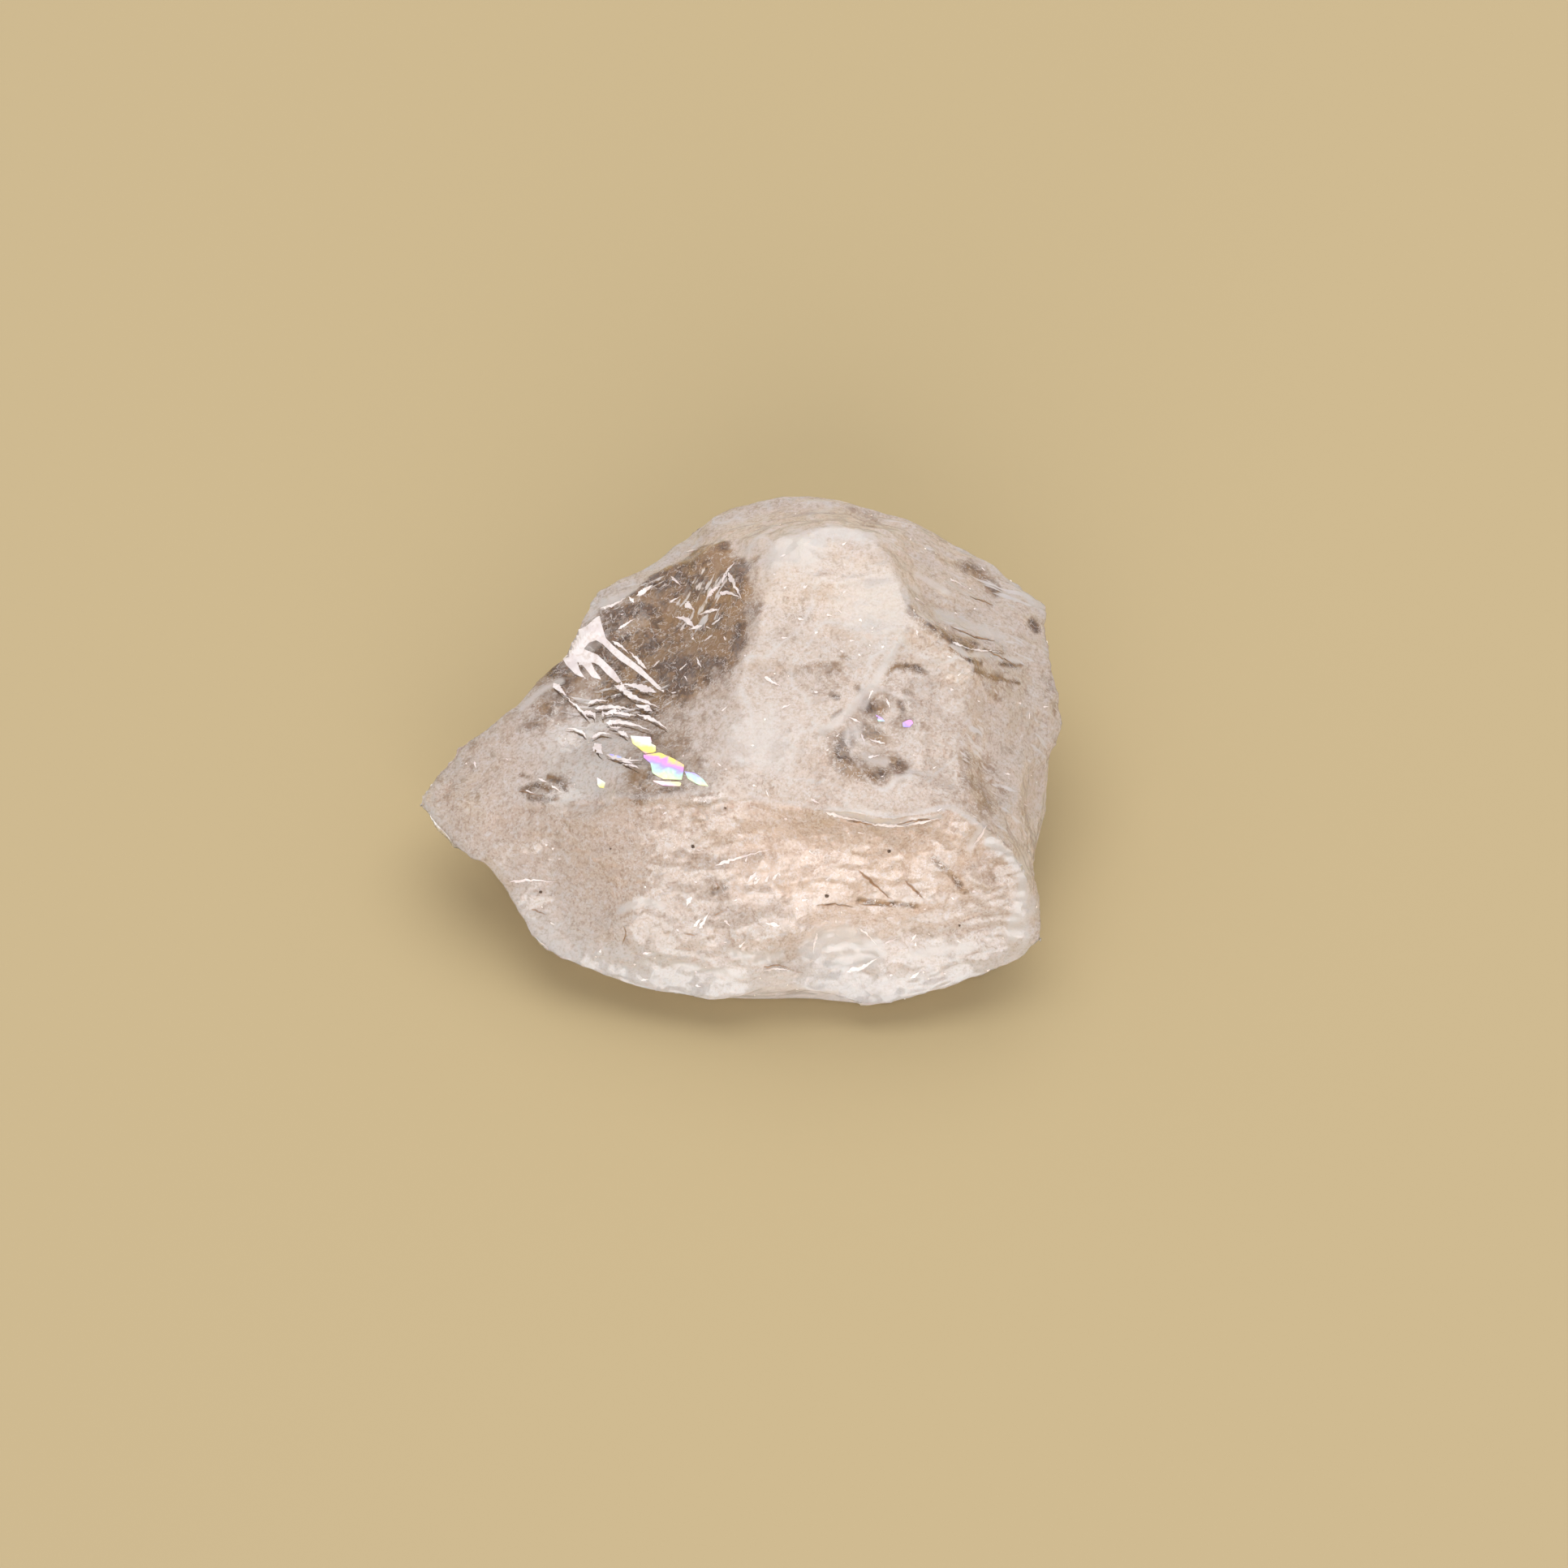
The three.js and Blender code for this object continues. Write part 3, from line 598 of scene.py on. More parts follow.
def fracture_material():
    """An air-filled fracture inside the crystal mirrors the light, so it looks white and silvery."""
    return mottled_material("air_filled_fracture", linear("#f3ebe5"), [
        (0.1, 2.0, 0.45, 0.65, linear("#d6c6b8"), 0.7)], {"Roughness": 0.3, "Metallic": 0.3})


def splinter_material():
    """The steps where the crystal tore: bright white, partly bruised and partly painted glints and
    reflections of the light on them, with a glassy gloss and pink clouds in them."""
    return mottled_material("bruised_and_glinting_beryl", linear("#fbf1ee"), [
        (0.5, 4.0, 0.48, 0.62, linear("#e6d6d4"), 0.7),
        (0.12, 3.0, 0.52, 0.66, linear("#d8c3b4"), 0.5),
    ], {"Roughness": 0.2, "IOR": 1.58, "Transmission Weight": 0.25})


def painted_shadow_material(settings):
    """A painted shadow under a bright step, where the eye looks into the clear stone: deep brown."""
    return mottled_material("painted_shadow_in_beryl", settings.depth, [
        (0.14, 3.0, 0.4, 0.7, settings.glass, 0.8),
    ], {"Roughness": 0.15, "IOR": 1.58, "Transmission Weight": 0.5})


def crack_and_shadow_material(settings):
    """A fine crack in the crystal with dust in it, which makes it brown and dull. It also paints the
    shadow line under the ridge's bright edge.
    """
    return mottled_material("dusty_crack_and_ridge_shadow", settings.stain, [
        (0.12, 2.0, 0.45, 0.65, settings.depth, 0.7),
    ], {"Roughness": 0.6, "Transmission Weight": 0.3})


def speck_material():
    """A grain of dark mica caught in the crystal, brown-black with a dull gloss. Its leaves are
    drawn coarser than they are, to show on so small a grain."""
    return mottled_material("dark_mica", linear("#3c2a1f"), [
        (0.03, 2.0, 0.5, 0.65, linear("#7c6047"), 0.8)], {"Roughness": 0.5})


def film_material():
    """A film of air in a fracture at the surface, thin enough to split the light into colours."""
    material, tree, out = new_material("thin_air_film")
    place = add_node(tree, "ShaderNodeTexCoord").outputs["Object"]
    patch = add_node(tree, "ShaderNodeTexNoise", {
        "Vector": place, "Scale": 1 / (0.3 * MM), "Detail": 2.0})
    shaken = add_node(tree, "ShaderNodeVectorMath", {
        0: patch.outputs["Color"], 1: (FILM_BEND * MM,) * 3, 2: place}, operation="MULTIPLY_ADD")
    rise = add_node(tree, "ShaderNodeVectorMath", {
        0: shaken, 1: (FILM_SLANT, *VIEW_UP.yz)}, operation="DOT_PRODUCT")
    above = add_node(tree, "ShaderNodeMath", {
        0: rise.outputs["Value"], 1: FILM_FOOT * MM}, operation="SUBTRACT")
    turn = add_node(tree, "ShaderNodeMath", {0: above, 1: FILM_CYCLE * MM}, operation="DIVIDE")
    hue = add_node(tree, "ShaderNodeValToRGB", {
        "Fac": add_node(tree, "ShaderNodeMath", {0: turn}, operation="FRACT")})
    stops = hue.color_ramp.elements
    while len(stops) < len(SPECTRUM):
        stops.new(0.5)
    for stop, (position, colour) in zip(stops, SPECTRUM):
        stop.position = position
        stop.color = opaque(linear(colour))
    surface = add_node(tree, "ShaderNodeBsdfPrincipled", {
        "Base Color": hue.outputs["Color"], "Roughness": 0.15, "IOR": 1.58})
    tree.links.new(surface.outputs[0], out.inputs["Surface"])
    return material


def solid_copy():
    """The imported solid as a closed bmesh, in millimetres."""
    bm = bmesh.new()
    bm.from_mesh(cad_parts[NODE].data)
    bmesh.ops.remove_doubles(bm, verts=bm.verts, dist=0.001 * MM)
    bmesh.ops.scale(bm, vec=Vector((1, 1, 1)) / MM, verts=bm.verts)
    return bm


def with_modifier(mesh, kind, group=None, **settings):
    """The mesh with one modifier applied. group gives each point's weight in it."""
    piece = bpy.data.objects.new("modelling", mesh)
    bpy.context.scene.collection.objects.link(piece)
    modifier = piece.modifiers.new(kind, kind)
    if group is not None:
        weights = piece.vertex_groups.new(name="share")
        for i, share in enumerate(group):
            weights.add([i], share, "REPLACE")
        modifier.vertex_group = weights.name
    for name, value in settings.items():
        setattr(modifier, name, value)
    graph = bpy.context.evaluated_depsgraph_get()
    result = bpy.data.meshes.new_from_object(piece.evaluated_get(graph))
    bpy.data.objects.remove(piece)
    return result


def patches(p, spots):
    """The strongest of the patches at p, whose rims are ragged."""
    p = p + noise.noise_vector(p / 0.7) * 0.35 + noise.noise_vector(p / 0.2) * 0.16
    best = 0.0
    for middle, radii, strength in spots:
        off = [(a - b) / r for a, b, r in zip(p, middle, radii)]
        span = math.sqrt(sum(o * o for o in off))
        if span < 1.2:
            best = max(best, strength * smooth(1.2 - span, 0.0, 0.6))
    return best


def scoops(p, size, seed):
    """Small scooped chips with sharp rims, as glass breaks: 1 in the middle of each, 0 between."""
    q = Vector((p.x / size[0], p.y / size[1], p.z / size[2] + seed))
    q += noise.noise_vector(q * 1.3) * 0.3
    return max(0.0, 1 - noise.voronoi(q)[0][0] ** 2)


def hackles(p):
    """Ledges along the front: a saw-toothed step every half millimetre or so, and finer ones."""
    bend = noise.noise(Vector((p.x / 1.5, p.y / 1.5, p.z / 1.3))) * 2.4
    level = p.z / 0.5 + bend
    saw = level - math.floor(level)
    ledge = smooth(saw, 0.0, 0.8) * (1 - smooth(saw, 0.8, 1.0))
    gate = smooth(noise.noise(Vector((p.x / 1.3, p.y / 1.3, p.z / 0.7 + 9))), -0.25, 0.35)
    fine = 1 - abs(noise.noise(Vector((p.x / 0.4, p.y / 0.35, p.z / 0.22))))
    return 0.6 * ledge * gate + 0.4 * fine * fine


def along(p, heading, length, width, seed=0.0):
    """p in long thin cells along a heading in plan."""
    turn = Matrix.Rotation(-heading, 2)
    q = turn @ p.xy
    return Vector((q.x / length, q.y / width, p.z / (3 * width) + seed))


def oval(p, middle, half_length, half_width):
    """1 inside an oval in plan and 0 outside it."""
    off = p.xy - middle
    span = math.hypot(off.x / half_length, off.y / half_width)
    return smooth(1.25 - span, 0.0, 0.5)


def ripples(p):
    """How the curved ripples crowd, as struck glass breaks, and where p lies among them."""
    arm = p.xy - RIPPLE_HEART
    crowd = oval(p, RIPPLE_MIDDLE, 1.45, 0.95) * 0.62
    wander = 0.8 * noise.noise(Vector((p.x / 0.9, p.y / 0.9, 0.5)))
    return crowd, Vector((arm.length / 0.14 + wander, math.atan2(arm.y, arm.x) * 5, 3))


def streaks_at(p, here):
    """How the bright streaks crowd at p, and p's place among them. The most crowded kind wins."""
    patch = noise.noise(p / 1.1)
    up_high = 0.55 * smooth(p.z, 3.4, 4.0)  # not down the back
    kinds = [
        (0.1 + 0.1 * patch, p / 0.3),
        (here.hollow * 0.7 * ripples(p)[0], ripples(p)[1]),
        (up_high * (here.hollow + here.lip) * oval(p, DASH_MIDDLE, 1.2, 0.4), along(p, 0.3, 0.5, 0.1, 5)),
        (here.hollow * oval(p, FLAKE_MIDDLE, 0.7, 0.9) * 0.5, along(p, 1.0, 0.4, 0.12, 9)),
        (here.right * (0.32 + 0.3 * patch), along(p, -0.05, 1.2, 0.16)),
        (here.front * (0.04 + 0.14 * patch), Vector((p.x / 0.6, p.y / 0.4, p.z / 0.13))),
    ]
    return max(kinds, key=lambda kind: kind[0])


def look_at(p):
    """What the surface is like at p: its break, its shares of clear, warm, frost and streak, and
    its place among the streaks."""
    here = Break(p)
    patch = noise.fractal(p / 1.7, 0.8, 2.0, 3)
    vein = 1 - smooth(abs(noise.noise((p + noise.noise_vector(p / 0.9) * 0.5) / 1.5)), 0.0, 0.07)
    clear = 1.0 + 0.3 * patch - 0.5 * smooth(-2.0 - p.x, 0.0, 2.0) - 0.7 * smooth(0.8 - p.y, 0.0, 1.6)
    clear = here.hollow * max(clear, 0.0) + here.tip * 0.15 + here.lip * 0.1
    clear += here.right * 0.25 * smooth(patch, 0.0, 0.4)
    clear = max(clear, patches(p, CLEAR_PATCHES))
    # Painted shade: a warmer, darker band on the front just under the ridge, stronger to the right
    shade_below_ridge = smooth(across(RIDGE, p.x) - p.y, 0.0, 0.1) * smooth(p.z, 3.0, 3.9)
    warm = 0.5 * here.right + 0.65 * here.tip + 0.1 * here.lip + 0.7 * here.front * smooth(p.z, 1.2, 2.8)
    warm += 0.45 * here.top
    warm += here.front * shade_below_ridge * (0.2 + 0.4 * smooth(p.x, -0.5, 1.5))
    # Painted highlight: a bright line along the crisp ridge, faint to the left and strong to the right
    ridge_highlight = smooth(0.1 - abs(across(RIDGE, p.x) - p.y), 0.0, 0.06) * smooth(p.z, 2.6, 3.4)
    ridge_highlight *= 0.25 + 0.55 * smooth(p.x + 2 * patch, 0.5, 2.0)
    foot = 0.9 * here.front * smooth(2.0 - p.z, 0.0, 1.4)
    # Frost: pale breaks and the foot of the front, with painted sheen on the top facet and the painted
    # highlight along the ridge
    frost = max(patches(p, PALE_AND_SHEEN_PATCHES), ridge_highlight, 0.85 * vein * here.top, foot)
    crowd, grain = streaks_at(p, here)
    look = {
        "clear": min(max(clear, 0.0), 1.0), "warm": min(warm, 1.0), "frost": frost,
        "streak": max(crowd, 0.0)}
    return here, look, grain


def relief_at(p, here, crowd, grain, settings):
    """How far the surface is cut back at p, in millimetres. crowd is how its streaks crowd, and
    grain is its place among them."""
    flat = 1 - max(here.front, smooth(p.z, 1.9, 2.6))  # the sides and the back
    wide = (1.3, 0.9, 0.6)
    narrow = (0.6, 0.4, 0.25)
    depth = settings.scoops * scoops(p, wide, 0) * (1 - 0.6 * here.hollow)
    depth += 0.4 * settings.scoops * scoops(p, narrow, 5) * (1 - here.hollow)
    depth += settings.hackle * hackles(p) * (here.front + 0.7 * flat)
    depth += settings.sugar * (0.5 + 0.5 * noise.fractal(p / 0.42, 0.7, 2.1, 3)) * (1 - 0.6 * here.hollow)
    depth += settings.ripple * (0.5 + noise.noise(grain)) * smooth(crowd, 0.1, 0.4)
    return depth * smooth(p.z, 0.02, 0.35)


def bend_of(mesh, spacing):
    """How far each point stands out from its neighbours, in point spacings: over 0 on an edge
    and under 0 in a crease. Averaged once with the neighbours."""
    bm = bmesh.new()
    bm.from_mesh(mesh)
    near = [[edge.other_vert(v).index for edge in v.link_edges] for v in bm.verts]
    spots = [v.co.copy() for v in bm.verts]
    sharp = []
    for vertex, ring in zip(bm.verts, near):
        mean = sum((spots[i] for i in ring), Vector()) / len(ring)
        sharp.append((vertex.co - mean).dot(vertex.normal) / spacing)
    bm.free()
    return [0.5 * sharp[i] + 0.5 * sum(sharp[j] for j in ring) / len(ring) for i, ring in enumerate(near)]


def smoothing_at(p):
    """1 where the solid's facets are smoothed away, and less on the crisp ridge and the tip."""
    off = abs(across(RIDGE, p.x) - p.y)
    ridge = smooth(SMOOTH_REACH - off, 0.0, SMOOTH_REACH) * smooth(p.z, 2.6, 3.4)
    tip = smooth(TIP_X - p.x, 0.0, 0.8)
    return 1 - max(0.85 * ridge, 0.9 * tip)


def stone_mesh(settings):
    """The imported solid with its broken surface: evened out, its facets smoothed away, and cut back
    by the relief. What its surface is like at each point is kept in attributes."""
    noise.seed_set(NOISE_SEED)
    bm = solid_copy()
    coarse = bpy.data.meshes.new("coarse")
    bm.to_mesh(coarse)
    bm.free()
    even = with_modifier(coarse, "REMESH", mode="VOXEL", voxel_size=settings.grain)
    worn = with_modifier(even, "SMOOTH", group=[smoothing_at(v.co) for v in even.vertices],
                         factor=0.6, iterations=22)
    looks = []
    grains = []
    places = []
    low, high = (corner / MM for corner in CAD_BOX)
    for vertex in worn.vertices:
        here, look, grain = look_at(vertex.co)
        # The pale broad steps include a painted highlight along the ridge
        look["paint"] = paint_at(vertex.co, vertex.normal, BROAD_STEPS)
        # Painted shade: broad steps that the eye looks into take the brown seen through the stone
        look["clear"] = max(look["clear"], 0.85 * paint_at(vertex.co, vertex.normal, GLASS_AND_SHADE_STEPS))
        looks.append(look)
        grains.extend(grain)
        depth = relief_at(vertex.co, here, look["streak"], grain, settings)
        place = vertex.co - vertex.normal * depth
        places.extend(min(max(c, a), b) for c, a, b in zip(place, low, high))
    worn.vertices.foreach_set("co", places)
    worn.update()
    for name in looks[0]:
        share = worn.attributes.new(name, "FLOAT", "POINT")
        share.data.foreach_set("value", [look[name] for look in looks])
    edge = worn.attributes.new("edge", "FLOAT", "POINT")
    edge.data.foreach_set("value", bend_of(worn, settings.grain))
    worn.attributes.new("grain", "FLOAT_VECTOR", "POINT").data.foreach_set("vector", grains)
    worn.transform(Matrix.Scale(MM, 4))
    worn.shade_smooth()
    worn.name = "stone"
    return worn


class MORGANITE_OT_stone(bpy.types.Operator):
    """Break the surface of the stone, in place of the plain solid"""

    bl_idname = "morganite.stone"
    bl_label = "Break the Stone"

    def execute(self, context):
        settings = context.scene.morganite
        stone = finished("stone", stone_mesh(settings), beryl_material(settings))
        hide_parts(NODE)
        return {"FINISHED"}


def ended(bm, name):
    """A mesh of the bmesh, whose faces point outwards, from millimetres to metres."""
    bmesh.ops.recalc_face_normals(bm, faces=bm.faces)
    bmesh.ops.scale(bm, vec=Vector((MM, MM, MM)), verts=bm.verts)
    mesh = bpy.data.meshes.new(name)
    bm.to_mesh(mesh)
    bm.free()
    return mesh


def give_body(bm, tree, made):
    """Give the faces at these points a body that reaches down into the stone."""
    faces = list(dict.fromkeys(face for vertex in made for face in vertex.link_faces))
    grown = bmesh.ops.extrude_face_region(bm, geom=faces)
    sunk = [g for g in grown["geom"] if isinstance(g, bmesh.types.BMVert)]
    for vertex in sunk:
        vertex.co -= tree.find_nearest(vertex.co)[1] * SPLINTER_DEPTH


def add_flake(bm, place, normal, spin, length, width, rng):
    """One thin, ragged wafer, in millimetres."""
    made = bmesh.ops.create_circle(bm, cap_ends=True, segments=7, radius=1.0)["verts"]
    for vertex in made:
        vertex.co *= rng.uniform(0.65, 1.0)
        vertex.co.x *= length / 2
        vertex.co.y *= width / 2
    faces = list({face for vertex in made for face in vertex.link_faces})
    grown = bmesh.ops.extrude_face_region(bm, geom=faces)
    lifted = [g for g in grown["geom"] if isinstance(g, bmesh.types.BMVert)]
    bmesh.ops.translate(bm, vec=(0, 0, FLAKE_THICKNESS), verts=lifted)
    turn = normal.to_track_quat("Z", "Y").to_matrix().to_4x4() @ Matrix.Rotation(spin, 4, "Z")
    bmesh.ops.transform(bm, matrix=Matrix.Translation(place) @ turn, verts=made + lifted)


def add_splinter(bm, tree, route, width, rng):
    """One thin splinter along a route on the surface: one end blunter than the other, ragged
    edges, and sunk in the stone but for its top. All in millimetres."""
    steps = len(route) - 1
    rows = max(1, round(width / ROW_WIDTH))
    blunt = rng.choice((0.15, 0.25, 0.6))
    made = bmesh.ops.create_grid(bm, x_segments=steps, y_segments=rows, size=1.0)["verts"]
    for vertex in made:
        at = round((vertex.co.x + 1) / 2 * steps)
        spot, normal = route[at]
        ahead = route[min(at + 1, steps)][0] - route[max(at - 1, 0)][0]
        side = normal.cross(ahead).normalized() * vertex.co.y
        start = (at + 0.3) / (steps * blunt)
        end = (steps - at + 0.3) / (steps * (1 - blunt))
        half = width / 2 * min(start, end, 1.0)
        spot, normal = tree.find_nearest(spot + side * half * rng.uniform(0.55, 1.25))[:2]
        vertex.co = spot + normal * SPLINTER_PROUD
    give_body(bm, tree, made)


def inside(spot, rim):
    """Whether a place in the picture is inside a closed rim."""
    hits = 0
    for (ax, ay), (bx, by) in zip(rim, rim[1:] + rim[:1]):
        if (ay > spot.y) != (by > spot.y):
            hits += spot.x < ax + (spot.y - ay) * (bx - ax) / (by - ay)
    return hits % 2 == 1


def nearest_on(spot, a, b):
    """The place nearest to spot on the line from a to b, in the picture."""
    share = intersect_point_line(spot, a, b)[1]
    return Vector(a).lerp(Vector(b), min(max(share, 0.0), 1.0))


def add_sheet(bm, tree, rim, rng):
    """One thin sheet on the surface that fills a rim in the picture, sunk but for its top."""
    low = Vector((min(u for u, v in rim), min(v for u, v in rim)))
    high = Vector((max(u for u, v in rim), max(v for u, v in rim)))
    count = [max(2, round(side / SHEET_CELL)) for side in high - low]
    made = bmesh.ops.create_grid(bm, x_segments=count[0], y_segments=count[1], size=1.0)["verts"]
    for vertex in made:
        vertex.co = [a + (b - a) * (c + 1) / 2 for a, b, c in zip(low, high, vertex.co)] + [0.0]
    faces = {face for vertex in made for face in vertex.link_faces}
    outer = [face for face in faces if not inside(face.calc_center_median(), rim)
             or any(seen_at(tree, *vertex.co.xy)[0] is None for vertex in face.verts)]
    bmesh.ops.delete(bm, geom=outer, context="FACES")
    kept = [vertex for vertex in made if vertex.is_valid]
    edge = {vertex for vertex in kept if vertex.is_boundary}
    for vertex in kept:
        spot = vertex.co.xy
        if vertex in edge:
            spots = [nearest_on(spot, a, b) for a, b in zip(rim, rim[1:] + rim[:1])]
            spot = min(spots, key=lambda other: (other - vertex.co.xy).length)
        hit, normal = seen_at(tree, *spot)
        if hit is None:
            hit, normal = seen_at(tree, *vertex.co.xy)
        vertex.co = hit + normal * (SPLINTER_PROUD + rng.uniform(0, SHEET_WAVE))
    give_body(bm, tree, kept)


def picture_of(p):
    """The place in the picture of a point in space."""
    off = p - VIEW_TARGET
    scale = VIEW_DISTANCE / (VIEW_DISTANCE - off.dot(VIEW_BACK)) / PIXEL
    return Vector((PICTURE_WIDTH / 2 + off.x * scale, PICTURE_WIDTH / 2 - off.dot(VIEW_UP) * scale))


def paint_at(p, normal, steps):
    """How much a broad step covers the stone here: 1 along its middle and 0.5 at its rim."""
    if normal.dot(VIEW_BACK) < FACING:
        return 0.0
    spot = picture_of(p)
    u, v = spot
    best = 0.0
    for width, *places in steps:
        half = width / 2 / PIXEL
        for a, b in zip(places, places[1:]):
            if abs(u - (a[0] + b[0]) / 2) < PAINT_REACH and abs(v - (a[1] + b[1]) / 2) < PAINT_REACH:
                best = max(best, 1 - 0.5 * (spot - nearest_on(spot, a, b)).length / half)
    return best


def seen_at(tree, u, v):
    """The point of the stone that is seen at this place in the picture, and the normal there."""
    eye = VIEW_TARGET + VIEW_BACK * VIEW_DISTANCE
    right = (u - PICTURE_WIDTH / 2) * PIXEL
    high = (PICTURE_WIDTH / 2 - v) * PIXEL
    aim = VIEW_TARGET + Vector((right, 0, 0)) + VIEW_UP * high
    return tree.ray_cast(eye, (aim - eye).normalized())[:2]


def route_on(tree, places, rng):
    """The points on the stone along these places in the picture, each with its normal. The line
    through the places is split up and shaken a little."""
    line = [Vector(place) for place in places]
    for _ in range(3):
        line = [p for a, b in zip(line, line[1:]) for p in (a, (a + b) / 2)] + [line[-1]]
    for _ in range(3):
        line[1:-1] = [(a + 2 * b + c) / 4 for a, b, c in zip(line, line[1:], line[2:])]
    step = (line[-1] - line[0]).length / len(line)
    shaken = [p + Vector((rng.gauss(0, SHAKE), rng.gauss(0, SHAKE))) * min(step, LONGEST_SHAKEN)
              for p in line]
    route = [seen_at(tree, *p) for p in shaken]
    return route if all(hit for hit, _ in route) else None


def tree_of(mesh, scale=1.0):
    """A search tree over a mesh, in metres unless it is scaled."""
    bm = bmesh.new()
    bm.from_mesh(mesh)
    bmesh.ops.scale(bm, vec=Vector((scale, scale, scale)), verts=bm.verts)
    tree = BVHTree.FromBMesh(bm)
    bm.free()
    return tree


def flake_batch(rng, mesh, tree, count):
    """Small flakes. Most lie just in the cloudy breaks, as flecks, and some deep under the clear."""
    bm = bmesh.new()
    clear = mesh.attributes["clear"].data
    placed = 0
    while placed < count:
        spot = rng.randrange(len(mesh.vertices))
        vertex = mesh.vertices[spot]
        deep = clear[spot].value > CLEAR_ENOUGH
        if (not deep and rng.random() < FLECKS_LEFT_OUT) or vertex.co.z < 0.3 * MM:
            continue
        depth = rng.uniform(0.15, 0.9) if deep else 0.0
        length = rng.uniform(0.1, 0.4) if deep else rng.uniform(0.03, 0.08)
        place = vertex.co / MM - vertex.normal * depth
        if deep and tree.find_nearest(place * MM)[3] < (0.55 * length + 0.02) * MM:
            continue
        tilt = 0.7 if deep else 0.25
        lean = Vector((rng.gauss(0, tilt), rng.gauss(0, tilt), rng.gauss(0, tilt)))
        add_flake(bm, place, vertex.normal + lean, rng.uniform(0, math.tau), length,
                  length * rng.uniform(0.3, 0.8), rng)
        placed += 1
    return ended(bm, "batch")


def glint(rng):
    """A painted glint: a tiny bright step somewhere in the picture of the stone, which stands for a glint
    of light: its width, then its two ends. The crystal parts flat, so most run nearly level."""
    start = Vector((rng.uniform(*GLINT_LEFT_RIGHT), rng.uniform(*GLINT_TOP_BOTTOM)))
    turn = rng.gauss(0.0, 0.7)
    end = start + Vector((math.cos(turn), math.sin(turn))) * rng.uniform(*GLINT_LENGTHS)
    return rng.uniform(*GLINT_WIDTHS), tuple(start), tuple(end)


def splinters_mesh(name, tree, rng, steps):
    """A mesh of one splinter for each step: its width, then its places in the picture."""
    bm = bmesh.new()
    for width, *places in steps:
        route = route_on(tree, places, rng)
        if route:
            add_splinter(bm, tree, route, width, rng)
    return ended(bm, name)


def sheets_mesh(name, tree, rng, rims):
    """A mesh of one sheet for each rim in the picture."""
    bm = bmesh.new()
    for rim in rims:
        add_sheet(bm, tree, rim, rng)
    return ended(bm, name)


class MORGANITE_OT_splinters(bpy.types.Operator):
    """Lay the bright steps with their painted glints, the painted shadows under the ripples, the cracks,
    the torn patch, partly a painted reflection, and the film in the surface
    """

    bl_idname = "morganite.splinters"
    bl_label = "Lay the Splinters"

    def execute(self, context):
        settings = context.scene.morganite
        tree = tree_of(bpy.data.objects["stone"].data, 1 / MM)
        rng = random.Random(21)
        glints = [glint(rng) for _ in range(settings.glints)]
        # Painted shadows: a dark line just under each ripple step
        painted_shadows = [(PAINTED_SHADOW_WIDTH, *((u, v + PAINTED_SHADOW_BELOW + 0.5 * width / PIXEL) for u, v in places))
                for width, *places in RIPPLE_STEPS]
        steps = FAN_STEPS + RIPPLE_STEPS + HOLLOW_STEPS + TOP_STEPS_AND_GLINTS + RIGHT_STEPS + FRONT_STEPS_AND_GLINTS
        groups = {
            "steps": (steps + glints, splinter_material()),
            "painted_shadows": (painted_shadows, painted_shadow_material(settings)),
            "cracks": (CRACKS_AND_RIDGE_SHADOW, crack_and_shadow_material(settings)),
        }
        for name, (steps, material) in groups.items():
            finished(name, splinters_mesh(name, tree, random.Random(11), steps), material)
        # The fan's white patch, partly a painted reflection
        patch = sheets_mesh("patch", tree, random.Random(3), [FAN_REFLECTION_PATCH])
        finished("patch", patch, groups["steps"][1])
        finished("film", sheets_mesh("film", tree, random.Random(4), FILM_SHEETS), film_material())
        return {"FINISHED"}


class MORGANITE_OT_specks(bpy.types.Operator):
    """Set the few dark specks in the front"""

    bl_idname = "morganite.specks"
    bl_label = "Set the Specks"

    def execute(self, context):
        rng = random.Random(5)
        tree = tree_of(bpy.data.objects["stone"].data, 1 / MM)
        bm = bmesh.new()
        for x, z in SPECKS:
            hit = tree.ray_cast(Vector((x, IN_FRONT, z)), Vector((0, 1, 0)))[0]
            radius = rng.uniform(*SPECK_RADII)
            made = bmesh.ops.create_icosphere(bm, subdivisions=1, radius=radius)["verts"]
            for vertex in made:
                vertex.co *= rng.uniform(0.7, 1.1)
            bmesh.ops.translate(bm, vec=hit, verts=made)
        finished("specks", ended(bm, "specks"), speck_material())
        return {"FINISHED"}


class MORGANITE_OT_fractures(bpy.types.Operator):
    """Scatter the thin, air-filled fractures under the surface"""

    bl_idname = "morganite.fractures"
    bl_label = "Fracture the Inside"

    def execute(self, context):
        rng = random.Random(7)
        stone = bpy.data.objects["stone"].data
        tree = tree_of(stone)
        bm = bmesh.new()
        for _ in range(context.scene.morganite.flakes // BATCH):
            bm.from_mesh(flake_batch(rng, stone, tree, BATCH))
        mesh = bpy.data.meshes.new("fractures")
        bm.to_mesh(mesh)
        bm.free()
        finished("fractures", mesh, fracture_material())
        return {"FINISHED"}


def add_lamp(name, place, power, colour):
    """Add a round lamp that shines on the stone's middle."""
    lamp = bpy.data.lights.new(name, "AREA")
    lamp.shape = "DISK"
    lamp.size = LAMP_SIZE
    lamp.energy = power
    lamp.color = colour
    light = bpy.data.objects.new(name, lamp)
    light.location = place
    light.rotation_euler = (place - LAMP_TARGET).to_track_quat("Z", "Y").to_euler()
    bpy.context.scene.collection.objects.link(light)


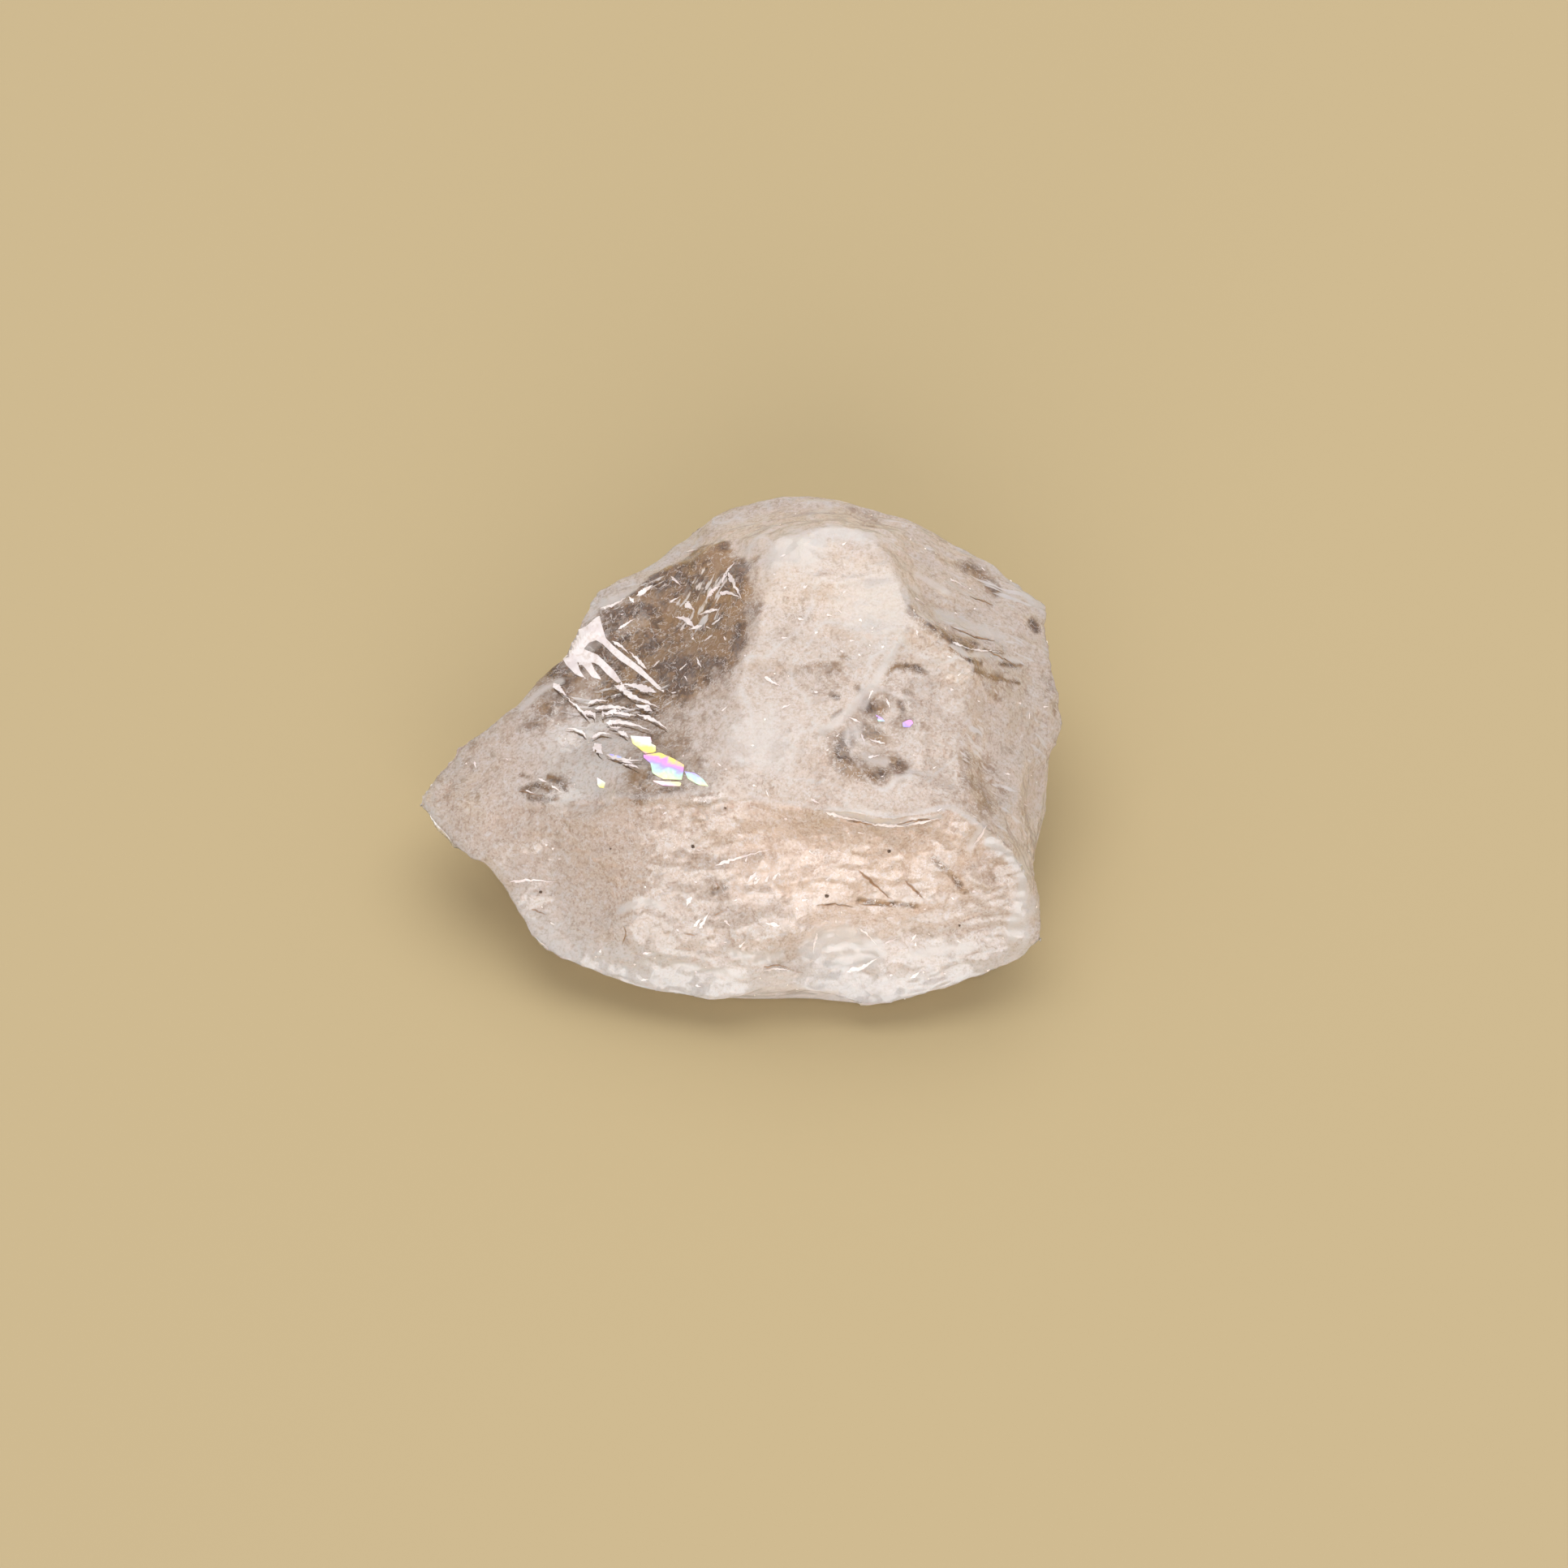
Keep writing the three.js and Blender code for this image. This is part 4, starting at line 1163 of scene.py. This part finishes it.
class MORGANITE_OT_stage(bpy.types.Operator):
    """Set the plain floor, the soft light and the camera"""

    bl_idname = "morganite.stage"
    bl_label = "Set the Stage"

    def execute(self, context):
        scene = context.scene
        settings = scene.morganite_stage
        scene.view_settings.view_transform = "Standard"
        self.floor(settings)
        self.light(settings)
        self.camera(settings)
        return {"FINISHED"}

    def floor(self, settings):
        bm = bmesh.new()
        bmesh.ops.create_grid(bm, x_segments=1, y_segments=1, size=FLOOR_HALF)
        bmesh.ops.translate(bm, vec=(0, 0, -FLOOR_DROP), verts=bm.verts)
        mesh = bpy.data.meshes.new("floor")
        bm.to_mesh(mesh)
        bm.free()
        material, tree, out = new_material("plain_board")
        surface = add_node(tree, "ShaderNodeBsdfPrincipled", {
            "Base Color": opaque(settings.floor), "Roughness": 0.9})
        tree.links.new(surface.outputs[0], out.inputs["Surface"])
        mesh.materials.append(material)
        floor = bpy.data.objects.new("floor", mesh)
        bpy.context.scene.collection.objects.link(floor)

    def light(self, settings):
        world = bpy.data.worlds.new("plain_sky")
        world.use_nodes = True
        world.node_tree.nodes["Background"].inputs["Color"].default_value = opaque(linear("#f4f6fb"))
        world.node_tree.nodes["Background"].inputs["Strength"].default_value = settings.sky
        bpy.context.scene.world = world
        add_lamp("overhead", OVERHEAD_LAMP, settings.lamp, (1, 0.985, 0.96))
        add_lamp("front", FRONT_LAMP, settings.fill, (1, 0.99, 0.98))

    def camera(self, settings):
        view = bpy.data.cameras.new("camera")
        view.sensor_width = SENSOR_WIDTH
        view.lens = view.sensor_width * settings.distance / (PIXEL * PICTURE_WIDTH * MM)
        view.clip_start = 0.01
        target = VIEW_TARGET * MM
        back = Vector((0, -math.cos(settings.elevation), math.sin(settings.elevation)))
        camera = bpy.data.objects.new("camera", view)
        camera.location = target + back * settings.distance
        camera.rotation_euler = back.to_track_quat("Z", "Y").to_euler()
        bpy.context.scene.collection.objects.link(camera)
        bpy.context.scene.camera = camera


class MORGANITE_PT_panel(bpy.types.Panel):
    """Everything that makes the rough morganite"""

    bl_idname = "MORGANITE_PT_panel"
    bl_label = "Morganite"
    bl_space_type = "VIEW_3D"
    bl_region_type = "UI"
    bl_category = "Morganite"

    def draw(self, context):
        layout = self.layout
        for settings in (context.scene.morganite, context.scene.morganite_stage):
            for name in settings.bl_rna.properties.keys():
                if name not in ("rna_type", "name"):
                    layout.prop(settings, name)
        for operator in OPERATORS:
            layout.operator(operator.bl_idname)


OPERATORS = (MORGANITE_OT_stage, MORGANITE_OT_stone, MORGANITE_OT_fractures, MORGANITE_OT_splinters,
             MORGANITE_OT_specks)
CLASSES = (StoneSettings, StageSettings, *OPERATORS, MORGANITE_PT_panel)


def register():
    for cls in CLASSES:
        bpy.utils.register_class(cls)
    bpy.types.Scene.morganite = PointerProperty(type=StoneSettings)
    bpy.types.Scene.morganite_stage = PointerProperty(type=StageSettings)


def unregister():
    del bpy.types.Scene.morganite_stage
    del bpy.types.Scene.morganite
    for cls in reversed(CLASSES):
        bpy.utils.unregister_class(cls)


def main():
    register()
    bpy.ops.morganite.stage()
    bpy.ops.morganite.stone()
    bpy.ops.morganite.fractures()
    bpy.ops.morganite.splinters()
    bpy.ops.morganite.specks()


if __name__ == "__main__":
    main()
